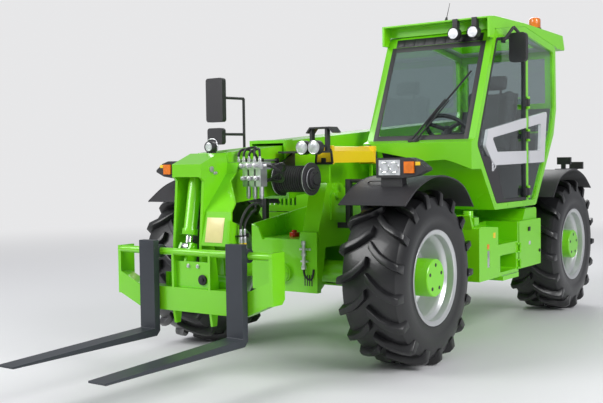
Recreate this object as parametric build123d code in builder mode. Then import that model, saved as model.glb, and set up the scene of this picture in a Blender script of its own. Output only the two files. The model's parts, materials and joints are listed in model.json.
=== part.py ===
"""Telehandler: four-wheel steer, side-mounted engine, telescopic boom beside a left-hand cab.

Millimetres.  The machine faces -Y, its left side is +X and +Z is up.  Heights start at the ground.
Stations along the machine are counted from the middle of the wheelbase, negative towards the forks;
the planes below carry them into the part's own frame, whose origin lies on the ground under the
middle of the whole outline.
"""
from build123d import *
from math import atan2, cos, degrees, hypot, radians, sin
import os

os.makedirs("parts", exist_ok=True)

# ------------------------------------------------------------------ driving dimensions
WHEELBASE = 2850
TRACK = 1780                # between the middles of the tyres
TYRE_R = 605                # to the lug tips, under load
TYRE_W = 460
RIM_R = 328                 # rim flange
LUG_H = 44
LUGS = 17                   # bars on each half of the tread

RAIL_HALF = 290             # half width over the two side rails
RAIL_T = 20
BELLY_Z = 470               # underside of the frame
PIVOT_Y, PIVOT_Z = 1500, 1660    # boom pivot
BOOM_X = -170               # boom's centre plane, to the right of the cab
BOOM_SLOPE = 4.5            # degrees, falling towards the front
BOOM_TOP = 140              # outer section's top above the pivot axis
OUTER_W, OUTER_H, OUTER_WALL = 310, 410, 12
INNER_W, INNER_H, INNER_WALL = 260, 350, 10
BOOM_STROKE = 2400

CARRIAGE_X = -55            # fork carriage's centre plane
CARRIAGE_W = 1310
TILT_Y, TILT_Z = -2440, 600      # carriage tilt pin
FORK_FACE = -2670           # front face of the fork shanks
FORK_TIP = -3806
FORK_W, FORK_T = 130, 50
FORK_UNDER = 273
TAIL_END = 2150             # rear end of the frame

CAB_IN, CAB_OUT = 129, 1060      # cab walls, right and left faces
CAB_WALL = 40
GAP = 6                     # clearance between panels that move and panels that stay
RUN = 0.1                   # radial running clearance of pins and rods

FRONT_AXLE = -WHEELBASE / 2
REAR_AXLE = WHEELBASE / 2
AXLE_Z = TYRE_R
WHEEL_X = TRACK / 2
MID_Y = -(FORK_TIP + TAIL_END) / 2
CORNERS = (     # name, side of the machine, end of the machine, axle station
    ("front_left", 1, -1, FRONT_AXLE),
    ("front_right", -1, -1, FRONT_AXLE),
    ("rear_left", 1, 1, REAR_AXLE),
    ("rear_right", -1, 1, REAR_AXLE),
)


# ------------------------------------------------------------------ planes and helpers
def side(x):
    """Side view at x: sketch x runs aft, sketch y up; extrudes towards the left."""
    return Plane(origin=(x, MID_Y, 0), x_dir=(0, 1, 0), z_dir=(1, 0, 0))


def front(y):
    """Front view at station y: sketch x runs left, sketch y up; extrudes forwards."""
    return Plane(origin=(0, MID_Y + y, 0), x_dir=(1, 0, 0), z_dir=(0, -1, 0))


def level(z):
    """Plan view at height z: sketch x runs left, sketch y aft; extrudes upwards."""
    return Plane(origin=(0, MID_Y, z), x_dir=(1, 0, 0), z_dir=(0, 0, 1))


def slab(plane, outline, thickness, round_r=0, mode=Mode.ADD):
    """Extrude a straight-sided outline from a plane, its corners rounded if asked."""
    with BuildSketch(plane) as drawn:
        Polygon(*outline)
        if round_r:
            fillet(drawn.vertices(), round_r)
    extrude(drawn.sketch, amount=thickness, mode=mode)


def rod(start, end, radius, mode=Mode.ADD):
    """A round bar between two points (x, station, z)."""
    first = Vector(start[0], MID_Y + start[1], start[2])
    last = Vector(end[0], MID_Y + end[1], end[2])
    with BuildSketch(Plane(origin=first, z_dir=last - first)) as drawn:
        Circle(radius)
    extrude(drawn.sketch, amount=(last - first).length, mode=mode)


def block(x, y, z, mode=Mode.ADD):
    """A box between pairs of faces; y holds stations."""
    slab(level(z[0]), ((x[0], y[0]), (x[1], y[0]), (x[1], y[1]), (x[0], y[1])), z[1] - z[0], mode=mode)


def keep(solid, name):
    """Label a finished piece and write it."""
    solid.label = name
    export_step(solid, f"parts/{name}.step")


# ------------------------------------------------------------------ wheels
# Modelled lying flat: local Z is the axle, outwards; the bottom of the tyre is at local +X.
KINGPIN_X = 780
KINGPIN_R = 25
HUB_R = 130
HUB_FACE = TYRE_W / 2 - 18       # hub's outer face from the wheel's middle
DISC_Z = -10                     # rim disc's outer face from the wheel's middle
DISC_T = 14
RIM_T = 10
BEAD_R = RIM_R - 23
WELL_R = RIM_R - 66
TREAD_R = TYRE_R - LUG_H
SHOULDER = TYRE_W / 2
PITCH = 360 / LUGS
CARCASS_SIDES = 17
# the carcass in section: across the tread, then radius
CARCASS = ((-195, BEAD_R + 8), (-222, 450), (-185, TREAD_R), (185, TREAD_R), (222, 450), (195, BEAD_R + 8))
# one bar: across the tread, then its trailing and leading sides from its own middle, then its tip radius
LUG = ((3, -114, -36, TYRE_R),
       (85, -26, 48, TYRE_R),
       (SHOULDER, 40, 114, TYRE_R - 14))
LUG_ROOT = TREAD_R - 36
LUG_LEAD = -3.4             # degrees from the carcass's seam to the middle of the first bar

with BuildPart() as lug:
    sections = []
    for across, first, last, tip in LUG:
        top = (tip**2 - max(abs(first), abs(last))**2)**0.5
        with BuildSketch(Plane.XY.offset(across)) as section:
            Polygon((LUG_ROOT, first), (top, first), (top, last), (LUG_ROOT, last), align=None)
        sections.append(section.sketch)
    loft(sections, ruled=True)

with BuildPart() as tyre:
    rings = []
    for across, radius in CARCASS:
        with BuildSketch(Plane.XY.offset(across)) as ring:
            RegularPolygon(radius, CARCASS_SIDES)
        rings.append(ring.sketch)
    loft(rings, ruled=True)
    with BuildSketch(Plane.XY.offset(-SHOULDER)) as bore:
        RegularPolygon(BEAD_R, CARCASS_SIDES, major_radius=False)
    extrude(bore.sketch, amount=2 * SHOULDER, mode=Mode.SUBTRACT)
    with PolarLocations(0, LUGS, start_angle=LUG_LEAD):
        add(lug.part)
    with PolarLocations(0, LUGS, start_angle=PITCH / 2 + LUG_LEAD):
        add(mirror(lug.part, about=Plane.XY, mode=Mode.PRIVATE))

with BuildPart() as rim:
    with BuildSketch(Plane.XZ):
        Polygon((RIM_R, 215), (RIM_R, 203), (BEAD_R - RUN, 198), (BEAD_R - RUN, 150), (WELL_R + 18, 130),
                (WELL_R, 60), (WELL_R, -60), (WELL_R + 18, -130), (BEAD_R - RUN, -150), (BEAD_R - RUN, -198),
                (RIM_R, -203), (RIM_R, -215), (BEAD_R - RIM_T, -205), (BEAD_R - RIM_T, -155),
                (WELL_R + 18 - RIM_T, -135), (WELL_R - RIM_T, -62), (WELL_R - RIM_T, DISC_Z - DISC_T),
                (HUB_R, DISC_Z - DISC_T), (HUB_R, DISC_Z), (WELL_R - RIM_T, DISC_Z), (WELL_R - RIM_T, 62),
                (WELL_R + 18 - RIM_T, 135), (BEAD_R - RIM_T, 155), (BEAD_R - RIM_T, 205))
    revolve(axis=Axis.Z)

with BuildPart() as hub:
    with BuildSketch(Plane.XY.offset(DISC_Z - DISC_T - 20)):
        Circle(HUB_R + 35)
    extrude(amount=20)
    with BuildSketch(Plane.XY.offset(DISC_Z - DISC_T)):
        Circle(HUB_R - RUN)
    extrude(amount=HUB_FACE - DISC_Z + DISC_T)
    chamfer(hub.faces().sort_by(Axis.Z)[-1].edges(), 6)
    with BuildSketch(Plane.XY.offset(HUB_FACE - 20)):
        with PolarLocations(88, 5, start_angle=36):
            Circle(9)
    extrude(amount=20, mode=Mode.SUBTRACT)

# ------------------------------------------------------------------ steering knuckle
# Its own frame: the wheel's middle, X outwards, Y aft, Z up.
PIN_OFF = KINGPIN_X - WHEEL_X
KNUCKLE_H = 110
EAR_T = 30
ARM_END = 190               # steering arm's ball, from the kingpin
SPINDLE_END = DISC_Z - DISC_T - 20 - GAP

with BuildPart() as knuckle:
    with BuildSketch(Plane.XY.offset(-KNUCKLE_H)):
        with Locations((PIN_OFF, 0)):
            Circle(58)
    extrude(amount=2 * KNUCKLE_H)
    with BuildSketch(Plane.YZ.offset(PIN_OFF + 30)):
        Circle(95)
    extrude(amount=SPINDLE_END - PIN_OFF - 30)
    with BuildSketch(Plane.XY.offset(-80)):
        Polygon((PIN_OFF - 40, 0), (PIN_OFF - 30, ARM_END), (PIN_OFF + 20, ARM_END + 10), (PIN_OFF + 50, 0))
    extrude(amount=35)
    with BuildSketch(Plane.XY.offset(-KNUCKLE_H)):
        with Locations((PIN_OFF, 0)):
            Circle(KINGPIN_R + RUN)
    extrude(amount=2 * KNUCKLE_H, mode=Mode.SUBTRACT)

for name, hand, end, axle in CORNERS:
    lie = Location((hand * WHEEL_X, MID_Y + axle, AXLE_Z), (0, 90, 0))
    stand = Location((hand * WHEEL_X, MID_Y + axle, AXLE_Z))
    for piece, master in (("tyre", tyre.part), ("rim", rim.part), ("hub", hub.part)):
        handed = master if hand > 0 else mirror(master, about=Plane.XY)
        keep(lie * handed, f"{piece}_{name}")
    handed = knuckle.part if hand > 0 else mirror(knuckle.part, about=Plane.YZ)
    turned = handed if end < 0 else mirror(handed, about=Plane.XZ)
    keep(stand * turned, f"knuckle_{name}")

# ------------------------------------------------------------------ axles
AXLE_TUBE_R = 82
DIFF_R = 170
YOKE_X = 655                # outer face of the axle's end yoke web
EAR_Z = KNUCKLE_H + GAP     # inner faces of the yoke ears, from the axle's height
NOSE_Y = -1640              # rear face of the nose plate
TRUNNION_R = 55

for name, axle in (("front", FRONT_AXLE), ("rear", REAR_AXLE)):
    with BuildPart() as axle_beam:
        rod((-YOKE_X + 30, axle, AXLE_Z), (YOKE_X - 30, axle, AXLE_Z), AXLE_TUBE_R)
        rod((-120, axle, AXLE_Z), (120, axle, AXLE_Z), DIFF_R)
        for hand in (-1, 1):
            web = sorted((hand * (YOKE_X - 45), hand * YOKE_X))
            block(web, (axle - 55, axle + 55), (AXLE_Z - EAR_Z - EAR_T, AXLE_Z + EAR_Z + EAR_T))
            ear = sorted((hand * (YOKE_X - 20), hand * KINGPIN_X))
            for low in (-EAR_Z - EAR_T, EAR_Z):
                block(ear, (axle - 50, axle + 50), (AXLE_Z + low, AXLE_Z + low + EAR_T))
                rod((hand * KINGPIN_X, axle, AXLE_Z + low), (hand * KINGPIN_X, axle, AXLE_Z + low + EAR_T), 50)
            rod((hand * KINGPIN_X, axle, AXLE_Z - EAR_Z - EAR_T), (hand * KINGPIN_X, axle, AXLE_Z + EAR_Z + EAR_T),
                KINGPIN_R)
        if name == "front":
            rod((0, NOSE_Y, AXLE_Z), (0, axle, AXLE_Z), TRUNNION_R)
        else:
            for hand in (-1, 1):
                pad = sorted((hand * (RAIL_HALF - 80), hand * RAIL_HALF))
                block(pad, (axle - 90, axle + 90), (AXLE_Z, AXLE_Z + 185))
    keep(axle_beam.part, f"{name}_axle")

# ------------------------------------------------------------------ main frame
ARCH_Z = AXLE_Z + 185       # rail underside over the axles
ARCH_HALF = 190
OUTRIGGERS = (-560, 520)    # front faces of the cross beams under the cab
TRAY_Z = 850                # floor of the front tray
CAB_FLOOR = 1010            # underside of the cab, on its four mounts
LIFT_Y, LIFT_Z = 1180, 680  # lift cylinder's foot
STRUT_X = (180, 320)        # safety strut, lying above the left rail
STRUT_Z = 1385
STRUT_Y = (-1490, -860)
TOWER_GAP = 10              # between the boom and each tower plate
TOWER_T = 22
TOWER_IN = OUTER_W / 2 + TOWER_GAP
BOOM_PIN_R = 38
BOSS_R = 70

RAIL_LOW = ((-1650, BELLY_Z), (FRONT_AXLE - ARCH_HALF, BELLY_Z), (FRONT_AXLE - 120, ARCH_Z),
            (FRONT_AXLE + 120, ARCH_Z), (FRONT_AXLE + ARCH_HALF, BELLY_Z), (REAR_AXLE - ARCH_HALF, BELLY_Z),
            (REAR_AXLE - 120, ARCH_Z), (REAR_AXLE + 120, ARCH_Z), (REAR_AXLE + ARCH_HALF, BELLY_Z + 60),
            (TAIL_END, BELLY_Z + 100), (TAIL_END, 1060))
RAIL_TOPS = (       # x of the inner face, then the top edge from the tail to the nose
    (-RAIL_HALF, ((1800, 1100), (-700, 1080), (-1640, 955))),
    (RAIL_HALF - RAIL_T, ((1800, 1100), (1150, 1100), (900, 960), (-600, 960), (-1120, 1100), (-1330, 1250),
                          (-1505, 1250), (-1625, 910))),
)

with BuildPart() as main_frame:
    for x, top in RAIL_TOPS:
        slab(side(x), RAIL_LOW + top, RAIL_T)
    # nose plate, notched over the tray, with the front axle's pivot boss
    slab(front(NOSE_Y), ((-RAIL_HALF, BELLY_Z), (RAIL_HALF, BELLY_Z), (RAIL_HALF, 905), (150, 905), (140, 850),
                         (-195, 840), (-230, 925), (-RAIL_HALF, 950)), 20)
    rod((0, NOSE_Y - 20, AXLE_Z), (0, NOSE_Y - 45, AXLE_Z), BOSS_R)
    # tray floor, belly plate, cross plates and tail plate
    inner = (-RAIL_HALF + RAIL_T, RAIL_HALF - RAIL_T)
    block(inner, (NOSE_Y, -700), (TRAY_Z - 10, TRAY_Z))
    block(inner, (FRONT_AXLE + ARCH_HALF, REAR_AXLE - ARCH_HALF), (BELLY_Z, BELLY_Z + 15))
    block(inner, (-720, -700), (BELLY_Z + 15, TRAY_Z - 10))
    block(inner, (TAIL_END - 25, TAIL_END), (BELLY_Z + 100, 1060))
    block(inner, (1640, 1660), (BELLY_Z + 100, 1090))
    # left upright of the front, a box closed by its inner plate and its front plate
    slab(side(150), ((-1625, 905), (-1505, 1250), (-1330, 1250), (-1200, 1160), (-1200, TRAY_Z), (-1625, TRAY_Z)), 12)
    slab(side(150), ((-1637, 905), (-1517, 1250), (-1497, 1250), (-1617, 905)), RAIL_HALF - 150)
    # brackets under the safety strut, and a lashing eye's plate on the left upright
    block((STRUT_X[0], RAIL_HALF), (-1488, -1468), (1240, STRUT_Z))
    block((RAIL_HALF - RAIL_T, RAIL_HALF), (-885, -865), (1000, STRUT_Z))
    slab(side(RAIL_HALF), ((-1481, 985), (-1481, 1160), (-1445, 1199), (-1385, 1199), (-1351, 1160), (-1351, 985)), 12)
    rod((RAIL_HALF, -1412, 1160), (RAIL_HALF + 40, -1412, 1160), 24)
    # towers that carry the boom
    for hand in (-1, 1):
        face = BOOM_X + (TOWER_IN if hand > 0 else -TOWER_IN - TOWER_T)
        slab(side(face), ((1150, 1000), (1900, 1000), (1640, PIVOT_Z), (1580, PIVOT_Z + 90), (1440, PIVOT_Z + 90),
                          (1380, PIVOT_Z)), TOWER_T)
    block((-RAIL_HALF - 90, RAIL_HALF), (1640, 1900), (1060, 1090))
    block((BOOM_X - TOWER_IN - TOWER_T, RAIL_HALF), (1150, 1180), (1000, 1100))
    # foot of the lift cylinder
    for x in (BOOM_X - 92, BOOM_X + 72):
        slab(side(x), ((LIFT_Y - 230, BELLY_Z + 15), (LIFT_Y + 60, BELLY_Z + 15), (LIFT_Y + 60, LIFT_Z + 50),
                       (LIFT_Y - 60, LIFT_Z + 50)), 20)
    # boom pin with its collars
    rod((BOOM_X - TOWER_IN - TOWER_T - 12, PIVOT_Y, PIVOT_Z), (BOOM_X + TOWER_IN + TOWER_T + 12, PIVOT_Y, PIVOT_Z),
        BOOM_PIN_R)
    rod((BOOM_X - 92, LIFT_Y, LIFT_Z), (BOOM_X + 92, LIFT_Y, LIFT_Z), 30)
    # outriggers that carry the cab, the step box and the engine pod
    for y in OUTRIGGERS:
        block((RAIL_HALF, 1000), (y, y + 80), (900, 960))
        block((-1000, -RAIL_HALF), (y, y + 80), (500, 560))
    for x in (330, 930):
        for y in OUTRIGGERS:
            rod((x, y + 40, 960), (x, y + 40, CAB_FLOOR), 38)
keep(main_frame.part, "main_frame")

# tow hitch at the tail: two plates with a vertical bore for the tow pin
HITCH_Z = (580, 700)        # undersides of the two plates
HITCH_T = 25
HITCH_R = 17
with BuildPart() as tow_hitch:
    for z in HITCH_Z:
        block((-110, 110), (TAIL_END - 150, TAIL_END - 25), (z, z + HITCH_T))
        rod((0, TAIL_END - 80, z), (0, TAIL_END - 80, z + HITCH_T), HITCH_R, Mode.SUBTRACT)
keep(tow_hitch.part, "tow_hitch")

# ------------------------------------------------------------------ boom
# The boom's own view: sketch x runs forwards along the boom from the pivot, sketch y up across it.
slope = radians(BOOM_SLOPE)


def along_boom(x):
    """Side view of the boom at x; extrudes towards the right."""
    return Plane(origin=(x, MID_Y + PIVOT_Y, PIVOT_Z), x_dir=(0, -cos(slope), -sin(slope)), z_dir=(-1, 0, 0))


def boom_rod(u, v, x0, x1, radius, mode=Mode.ADD):
    """A round bar across the boom at (u, v) of its own view."""
    with BuildSketch(along_boom(x0)) as drawn:
        with Locations((u, v)):
            Circle(radius)
    extrude(drawn.sketch, amount=x0 - x1, mode=mode)


OUTER_FRONT = 3110          # mouth of the outer section, from the pivot
INNER_TAIL = 420            # rear end of the inner section, from the pivot
INNER_TIP = 3740
INNER_TOP = BOOM_TOP - OUTER_WALL - 18
EYE_U, EYE_DROP = 1690, 100 # lift cylinder's eye: along the boom, and below its underside
EYE_GAP = 50                # half the gap between the lugs; each carries its own stub of the pin
LIFT_EYE_R = 26

with BuildPart() as boom_outer:
    low, high = BOOM_TOP - OUTER_H, BOOM_TOP
    slab(along_boom(BOOM_X + OUTER_W / 2), ((-120, 60), (-60, high), (OUTER_FRONT, high), (OUTER_FRONT, low),
                                            (300, low), (-120, -80)), OUTER_W)
    slab(along_boom(BOOM_X + OUTER_W / 2 - OUTER_WALL),
         ((250, high - OUTER_WALL), (OUTER_FRONT, high - OUTER_WALL), (OUTER_FRONT, low + OUTER_WALL),
          (350, low + OUTER_WALL), (250, low + 80)), OUTER_W - 2 * OUTER_WALL, mode=Mode.SUBTRACT)
    # collar round the mouth
    for inset, way in ((-10, Mode.ADD), (OUTER_WALL, Mode.SUBTRACT)):
        slab(along_boom(BOOM_X + OUTER_W / 2 - inset),
             ((OUTER_FRONT - 90, high - inset), (OUTER_FRONT, high - inset), (OUTER_FRONT, low + inset),
              (OUTER_FRONT - 90, low + inset)), OUTER_W - 2 * inset, mode=way)
    # lugs for the lift cylinder
    for x in (BOOM_X - EYE_GAP, BOOM_X + EYE_GAP + 20):
        slab(along_boom(x), ((EYE_U - 130, low), (EYE_U + 130, low), (EYE_U + 50, low - EYE_DROP - 45),
                             (EYE_U - 50, low - EYE_DROP - 45)), 20)
    for x in (BOOM_X - EYE_GAP, BOOM_X + EYE_GAP + 35):
        boom_rod(EYE_U, low - EYE_DROP, x, x - 35, LIFT_EYE_R)
    boom_rod(0, 0, BOOM_X + OUTER_W / 2 + GAP, BOOM_X - OUTER_W / 2 - GAP, 85)
    boom_rod(0, 0, BOOM_X + OUTER_W / 2 + GAP, BOOM_X - OUTER_W / 2 - GAP, BOOM_PIN_R + RUN, mode=Mode.SUBTRACT)
keep(boom_outer.part, "boom_outer")

with BuildPart() as boom_inner:
    low, high = INNER_TOP - INNER_H, INNER_TOP
    slab(along_boom(BOOM_X + INNER_W / 2), ((INNER_TAIL, low), (INNER_TIP, low), (INNER_TIP, high),
                                            (INNER_TAIL, high)), INNER_W)
    slab(along_boom(BOOM_X + INNER_W / 2 - INNER_WALL),
         ((INNER_TAIL, low + INNER_WALL), (INNER_TIP - 40, low + INNER_WALL), (INNER_TIP - 40, high - INNER_WALL),
          (INNER_TAIL, high - INNER_WALL)), INNER_W - 2 * INNER_WALL, mode=Mode.SUBTRACT)
keep(boom_inner.part, "boom_inner")

# head: two cheeks on the inner section's tip, a cap over the tilt cylinder, and a widened left leg
HEAD_R, HEAD_L = -295, -45      # outer faces of the two cheeks
LEG_L = 187                     # outer face of the widened leg
CHEEK_T = 20
TILT_PIN_R = 30
TILT_BOSS_R = 72
TILT_EYE_R = 20
ROD_PIN_Y, ROD_PIN_Z = -2500, 850       # tilt cylinder's rod pin on the carriage
TOP_PIN_Y, TOP_PIN_Z = -2400, 1365      # tilt cylinder's top pin in the head
CHEEK = ((-2200, 1463), (-2320, 1472), (-2505, 1400), (-2505, 1316), (-2475, 1290), (-2512, 860), (-2512, 620),
         (-2368, 600), (-2380, 860), (-2270, 1130), (-2200, 1130))

with BuildPart() as boom_head:
    for x in (HEAD_R, HEAD_L - CHEEK_T):
        slab(side(x), CHEEK, CHEEK_T)
    slab(side(HEAD_R + CHEEK_T), ((-2230, 1472), (-2320, 1472), (-2505, 1400), (-2505, 1316), (-2490, 1316),
                                  (-2490, 1388), (-2310, 1455), (-2230, 1455)), HEAD_L - HEAD_R - 2 * CHEEK_T)
    # front plate of the widened leg, following the cheek's front edge, and its outer cheek
    for sketch_plane, outline, run in (
            (side(HEAD_L), ((-2225, 1465), (-2240, 1336), (-2470, 1090), (-2512, 870), (-2498, 870), (-2456, 1090),
                            (-2226, 1336), (-2211, 1465)), LEG_L - HEAD_L),):
        slab(sketch_plane, outline, run)
    slab(front(-2150), ((-60, 1500), (60, 1500), (55, 1410), (21, 1285), (168, 1141), (LEG_L, 990), (LEG_L, 860),
                        (400, 860), (400, 1520), (-60, 1520)), 400, mode=Mode.SUBTRACT)
    slab(side(LEG_L - CHEEK_T), ((-2500, 1040), (-2512, 870), (-2512, 600), (-2368, 600), (-2400, 1000)), CHEEK_T)
    rod((HEAD_R, TILT_Y, TILT_Z), (HEAD_R + CHEEK_T, TILT_Y, TILT_Z), TILT_BOSS_R)
    rod((HEAD_L - CHEEK_T, TILT_Y, TILT_Z), (LEG_L, TILT_Y, TILT_Z), TILT_BOSS_R)
    rod((HEAD_R - 50, TILT_Y, TILT_Z), (LEG_L + 50, TILT_Y, TILT_Z), TILT_PIN_R)
    rod((HEAD_R, TOP_PIN_Y, TOP_PIN_Z), (HEAD_L, TOP_PIN_Y, TOP_PIN_Z), 22)
    # the head butts on the end of the inner section
    slab(along_boom(BOOM_X + 400), ((INNER_TIP - 400, -600), (INNER_TIP, -600), (INNER_TIP, 400),
                                    (INNER_TIP - 400, 400)), 800, mode=Mode.SUBTRACT)
keep(boom_head.part, "boom_head")

# ------------------------------------------------------------------ lift and tilt cylinders


def cylinder(name, x, foot, eye, barrel_r, rod_r, stroke, slack, neck, eye_w, foot_pin_r, eye_pin_r):
    """Barrel and rod of a hydraulic cylinder between two pins (station, z).

    stroke and slack are the travels out and in from here; neck is the bare rod's length."""
    reach = hypot(eye[0] - foot[0], eye[1] - foot[1])
    unit = Vector(0, (eye[0] - foot[0]) / reach, (eye[1] - foot[1]) / reach)
    base = Vector(x, MID_Y + foot[0], foot[1])
    line = Plane(origin=base, x_dir=(1, 0, 0), z_dir=unit)
    gland = reach - neck
    with BuildPart() as barrel:
        with BuildSketch(line.offset(foot_pin_r)):
            Circle(barrel_r)
        extrude(amount=gland - foot_pin_r)
        with BuildSketch(line.offset(gland - 40)):
            Circle(barrel_r + 8)
        extrude(amount=40)
        with BuildSketch(line.offset(gland - stroke - 20 - slack)):
            Circle(rod_r + 1)
        extrude(amount=stroke + 20 + slack, mode=Mode.SUBTRACT)
        rod((x - eye_w / 2, foot[0], foot[1]), (x + eye_w / 2, foot[0], foot[1]), 2 * foot_pin_r)
        rod((x - eye_w / 2, foot[0], foot[1]), (x + eye_w / 2, foot[0], foot[1]), foot_pin_r + RUN, Mode.SUBTRACT)
    keep(barrel.part, f"{name}_barrel")
    with BuildPart() as piston_rod:
        with BuildSketch(line.offset(gland - stroke - 20)):
            Circle(rod_r)
        extrude(amount=reach - gland + stroke + 20)
        rod((x - eye_w / 2, eye[0], eye[1]), (x + eye_w / 2, eye[0], eye[1]), 2 * eye_pin_r)
        rod((x - eye_w / 2, eye[0], eye[1]), (x + eye_w / 2, eye[0], eye[1]), eye_pin_r + RUN, Mode.SUBTRACT)
    keep(piston_rod.part, f"{name}_rod")


eye_v = BOOM_TOP - OUTER_H - EYE_DROP
LIFT_EYE = (PIVOT_Y - EYE_U * cos(slope) - eye_v * sin(slope), PIVOT_Z - EYE_U * sin(slope) + eye_v * cos(slope))
cylinder("lift_cylinder", BOOM_X, (LIFT_Y, LIFT_Z), LIFT_EYE, 62, 36, 1050, 60, 150, 84, 30,
         LIFT_EYE_R)
cylinder("tilt_cylinder", BOOM_X, (TOP_PIN_Y, TOP_PIN_Z), (ROD_PIN_Y, ROD_PIN_Z), 44, 24, 270, 55, 85, 50, 22,
         TILT_EYE_R)

# ------------------------------------------------------------------ fork carriage
BAR_Y, BAR_Z, BAR_R = FORK_FACE + FORK_T + 30, 830, 24
BEAM_FACE = FORK_FACE + FORK_T + 8
END_L = CARRIAGE_X + CARRIAGE_W / 2
END_R = CARRIAGE_X - CARRIAGE_W / 2
END_T = 25

with BuildPart() as carriage:
    # lower beam with rising ends, then the end plates, ribs and bar
    slab(front(BEAM_FACE + 90), ((END_R, 540), (-490, 445), (380, 445), (END_L, 540), (END_L, 690), (400, 600),
                                 (-510, 600), (END_R, 690)), 90)
    for x in (END_R, END_L - END_T):
        slab(side(x), ((BEAM_FACE, 530), (BEAM_FACE, 855), (BEAM_FACE + 130, 855), (BEAM_FACE + 130, 560),
                       (BEAM_FACE + 100, 530)), END_T)
    rod((END_R, BAR_Y, BAR_Z), (END_L, BAR_Y, BAR_Z), BAR_R)
    for x in (CARRIAGE_X - 164, CARRIAGE_X + 146):
        slab(side(x), ((BEAM_FACE, 600), (BEAM_FACE, 845), (BEAM_FACE + 55, 845), (BEAM_FACE + 90, 600)), 18)
        slab(side(x), ((BEAM_FACE + 5, 450), (BEAM_FACE + 75, 450), (BEAM_FACE + 60, 362), (BEAM_FACE + 20, 362)), 18)
    # cross plate between the ribs
    block((CARRIAGE_X - 146, CARRIAGE_X + 146), (BEAM_FACE + 30, BEAM_FACE + 45), (600, 770))
    # ears on the tilt pin, outside the head, and the clevis for the rod
    for x in (HEAD_R - GAP - 25, LEG_L + GAP):
        slab(side(x), ((BEAM_FACE + 60, 460), (BEAM_FACE + 60, 690), (TILT_Y, TILT_Z + 75), (TILT_Y + 70, TILT_Z + 30),
                       (TILT_Y + 70, TILT_Z - 30), (TILT_Y, TILT_Z - 75)), 25)
        rod((x, TILT_Y, TILT_Z), (x + 25, TILT_Y, TILT_Z), TILT_PIN_R + RUN, Mode.SUBTRACT)
    for x in (BOOM_X - 52, BOOM_X + 34):
        slab(side(x), ((BEAM_FACE + 30, 600), (BEAM_FACE + 30, 780), (ROD_PIN_Y - 20, ROD_PIN_Z + 35),
                       (ROD_PIN_Y + 30, ROD_PIN_Z + 25), (ROD_PIN_Y + 30, ROD_PIN_Z - 30), (BEAM_FACE + 90, 600)), 18)
    for hand in (-1, 1):
        rod((BOOM_X + hand * 34, ROD_PIN_Y, ROD_PIN_Z), (BOOM_X + hand * 62, ROD_PIN_Y, ROD_PIN_Z), TILT_EYE_R)
keep(carriage.part, "fork_carriage")

SHANK_TOP = 905
for name, x in (("right", END_R + 323), ("left", END_L - 250)):
    with BuildPart() as fork:
        slab(side(x - FORK_W / 2), ((FORK_FACE + FORK_T, SHANK_TOP), (FORK_FACE, SHANK_TOP),
                                    (FORK_FACE, FORK_UNDER + FORK_T), (FORK_TIP, FORK_UNDER + 12),
                                    (FORK_TIP, FORK_UNDER), (FORK_FACE + FORK_T - 30, FORK_UNDER),
                                    (FORK_FACE + FORK_T, FORK_UNDER + 30)), FORK_W)
        rod((x - FORK_W / 2, BAR_Y, BAR_Z), (x + FORK_W / 2, BAR_Y, BAR_Z), BAR_R + 20)
        rod((x - FORK_W / 2, BAR_Y, BAR_Z), (x + FORK_W / 2, BAR_Y, BAR_Z), BAR_R + RUN, Mode.SUBTRACT)
    keep(fork.part, f"fork_{name}")

# ------------------------------------------------------------------ cab
CAB_ROUND = 60              # corners of the cab in side view
CAB_OUTLINE = ((-310, CAB_FLOOR), (-696, 1504), (-293, 2414), (320, 2500), (1067, 2398), (1085, 1845),
               (1017, 1618), (575, CAB_FLOOR))
CAB_INSIDE = ((-290, 1050), (-650, 1510), (-265, 2374), (320, 2455), (1030, 2360), (1045, 1855), (980, 1640),
              (555, 1050))
CAB_HOLE = ((-278, 1057), (-636, 1512), (-264, 2353), (320, 2438), (1020, 2345), (1036, 1850), (973, 1650),
            (545, 1057))
RIGHT_HOLE = ((-560, 1560), (-245, 2330), (330, 2400), (980, 2320), (990, 1850), (940, 1680))
HOLE_ROUND = 45
POST_Y, POST_W = 354, 46    # the hinge post's front edge and width
GLASS_T = 6
DOOR_PIN_X, DOOR_PIN_Y = CAB_OUT + 20, POST_Y - GAP / 2
DOOR_PIN_R = 8
BARREL_R = 14
BARREL_H = 60
HINGES = (1130, 1600, 1870)     # heights of the door's hinges
FRAME_SIDE = 60             # pillars beside the windscreen
SCREEN_Z = (1560, 2320)
ROOF_HOLE = (0, 860)        # stations of the roof window
ROOF_SIDE = 120
REAR_HOLE = (1900, 2300)
REAR_SIDE = 90


def on_screen(z, depth):
    """Station of a point behind the windscreen's outer plane, at height z."""
    (low_y, low_z), (top_y, top_z) = CAB_OUTLINE[1], CAB_OUTLINE[2]
    return low_y + (z - low_z) * (top_y - low_y) / (top_z - low_z) + depth


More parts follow.
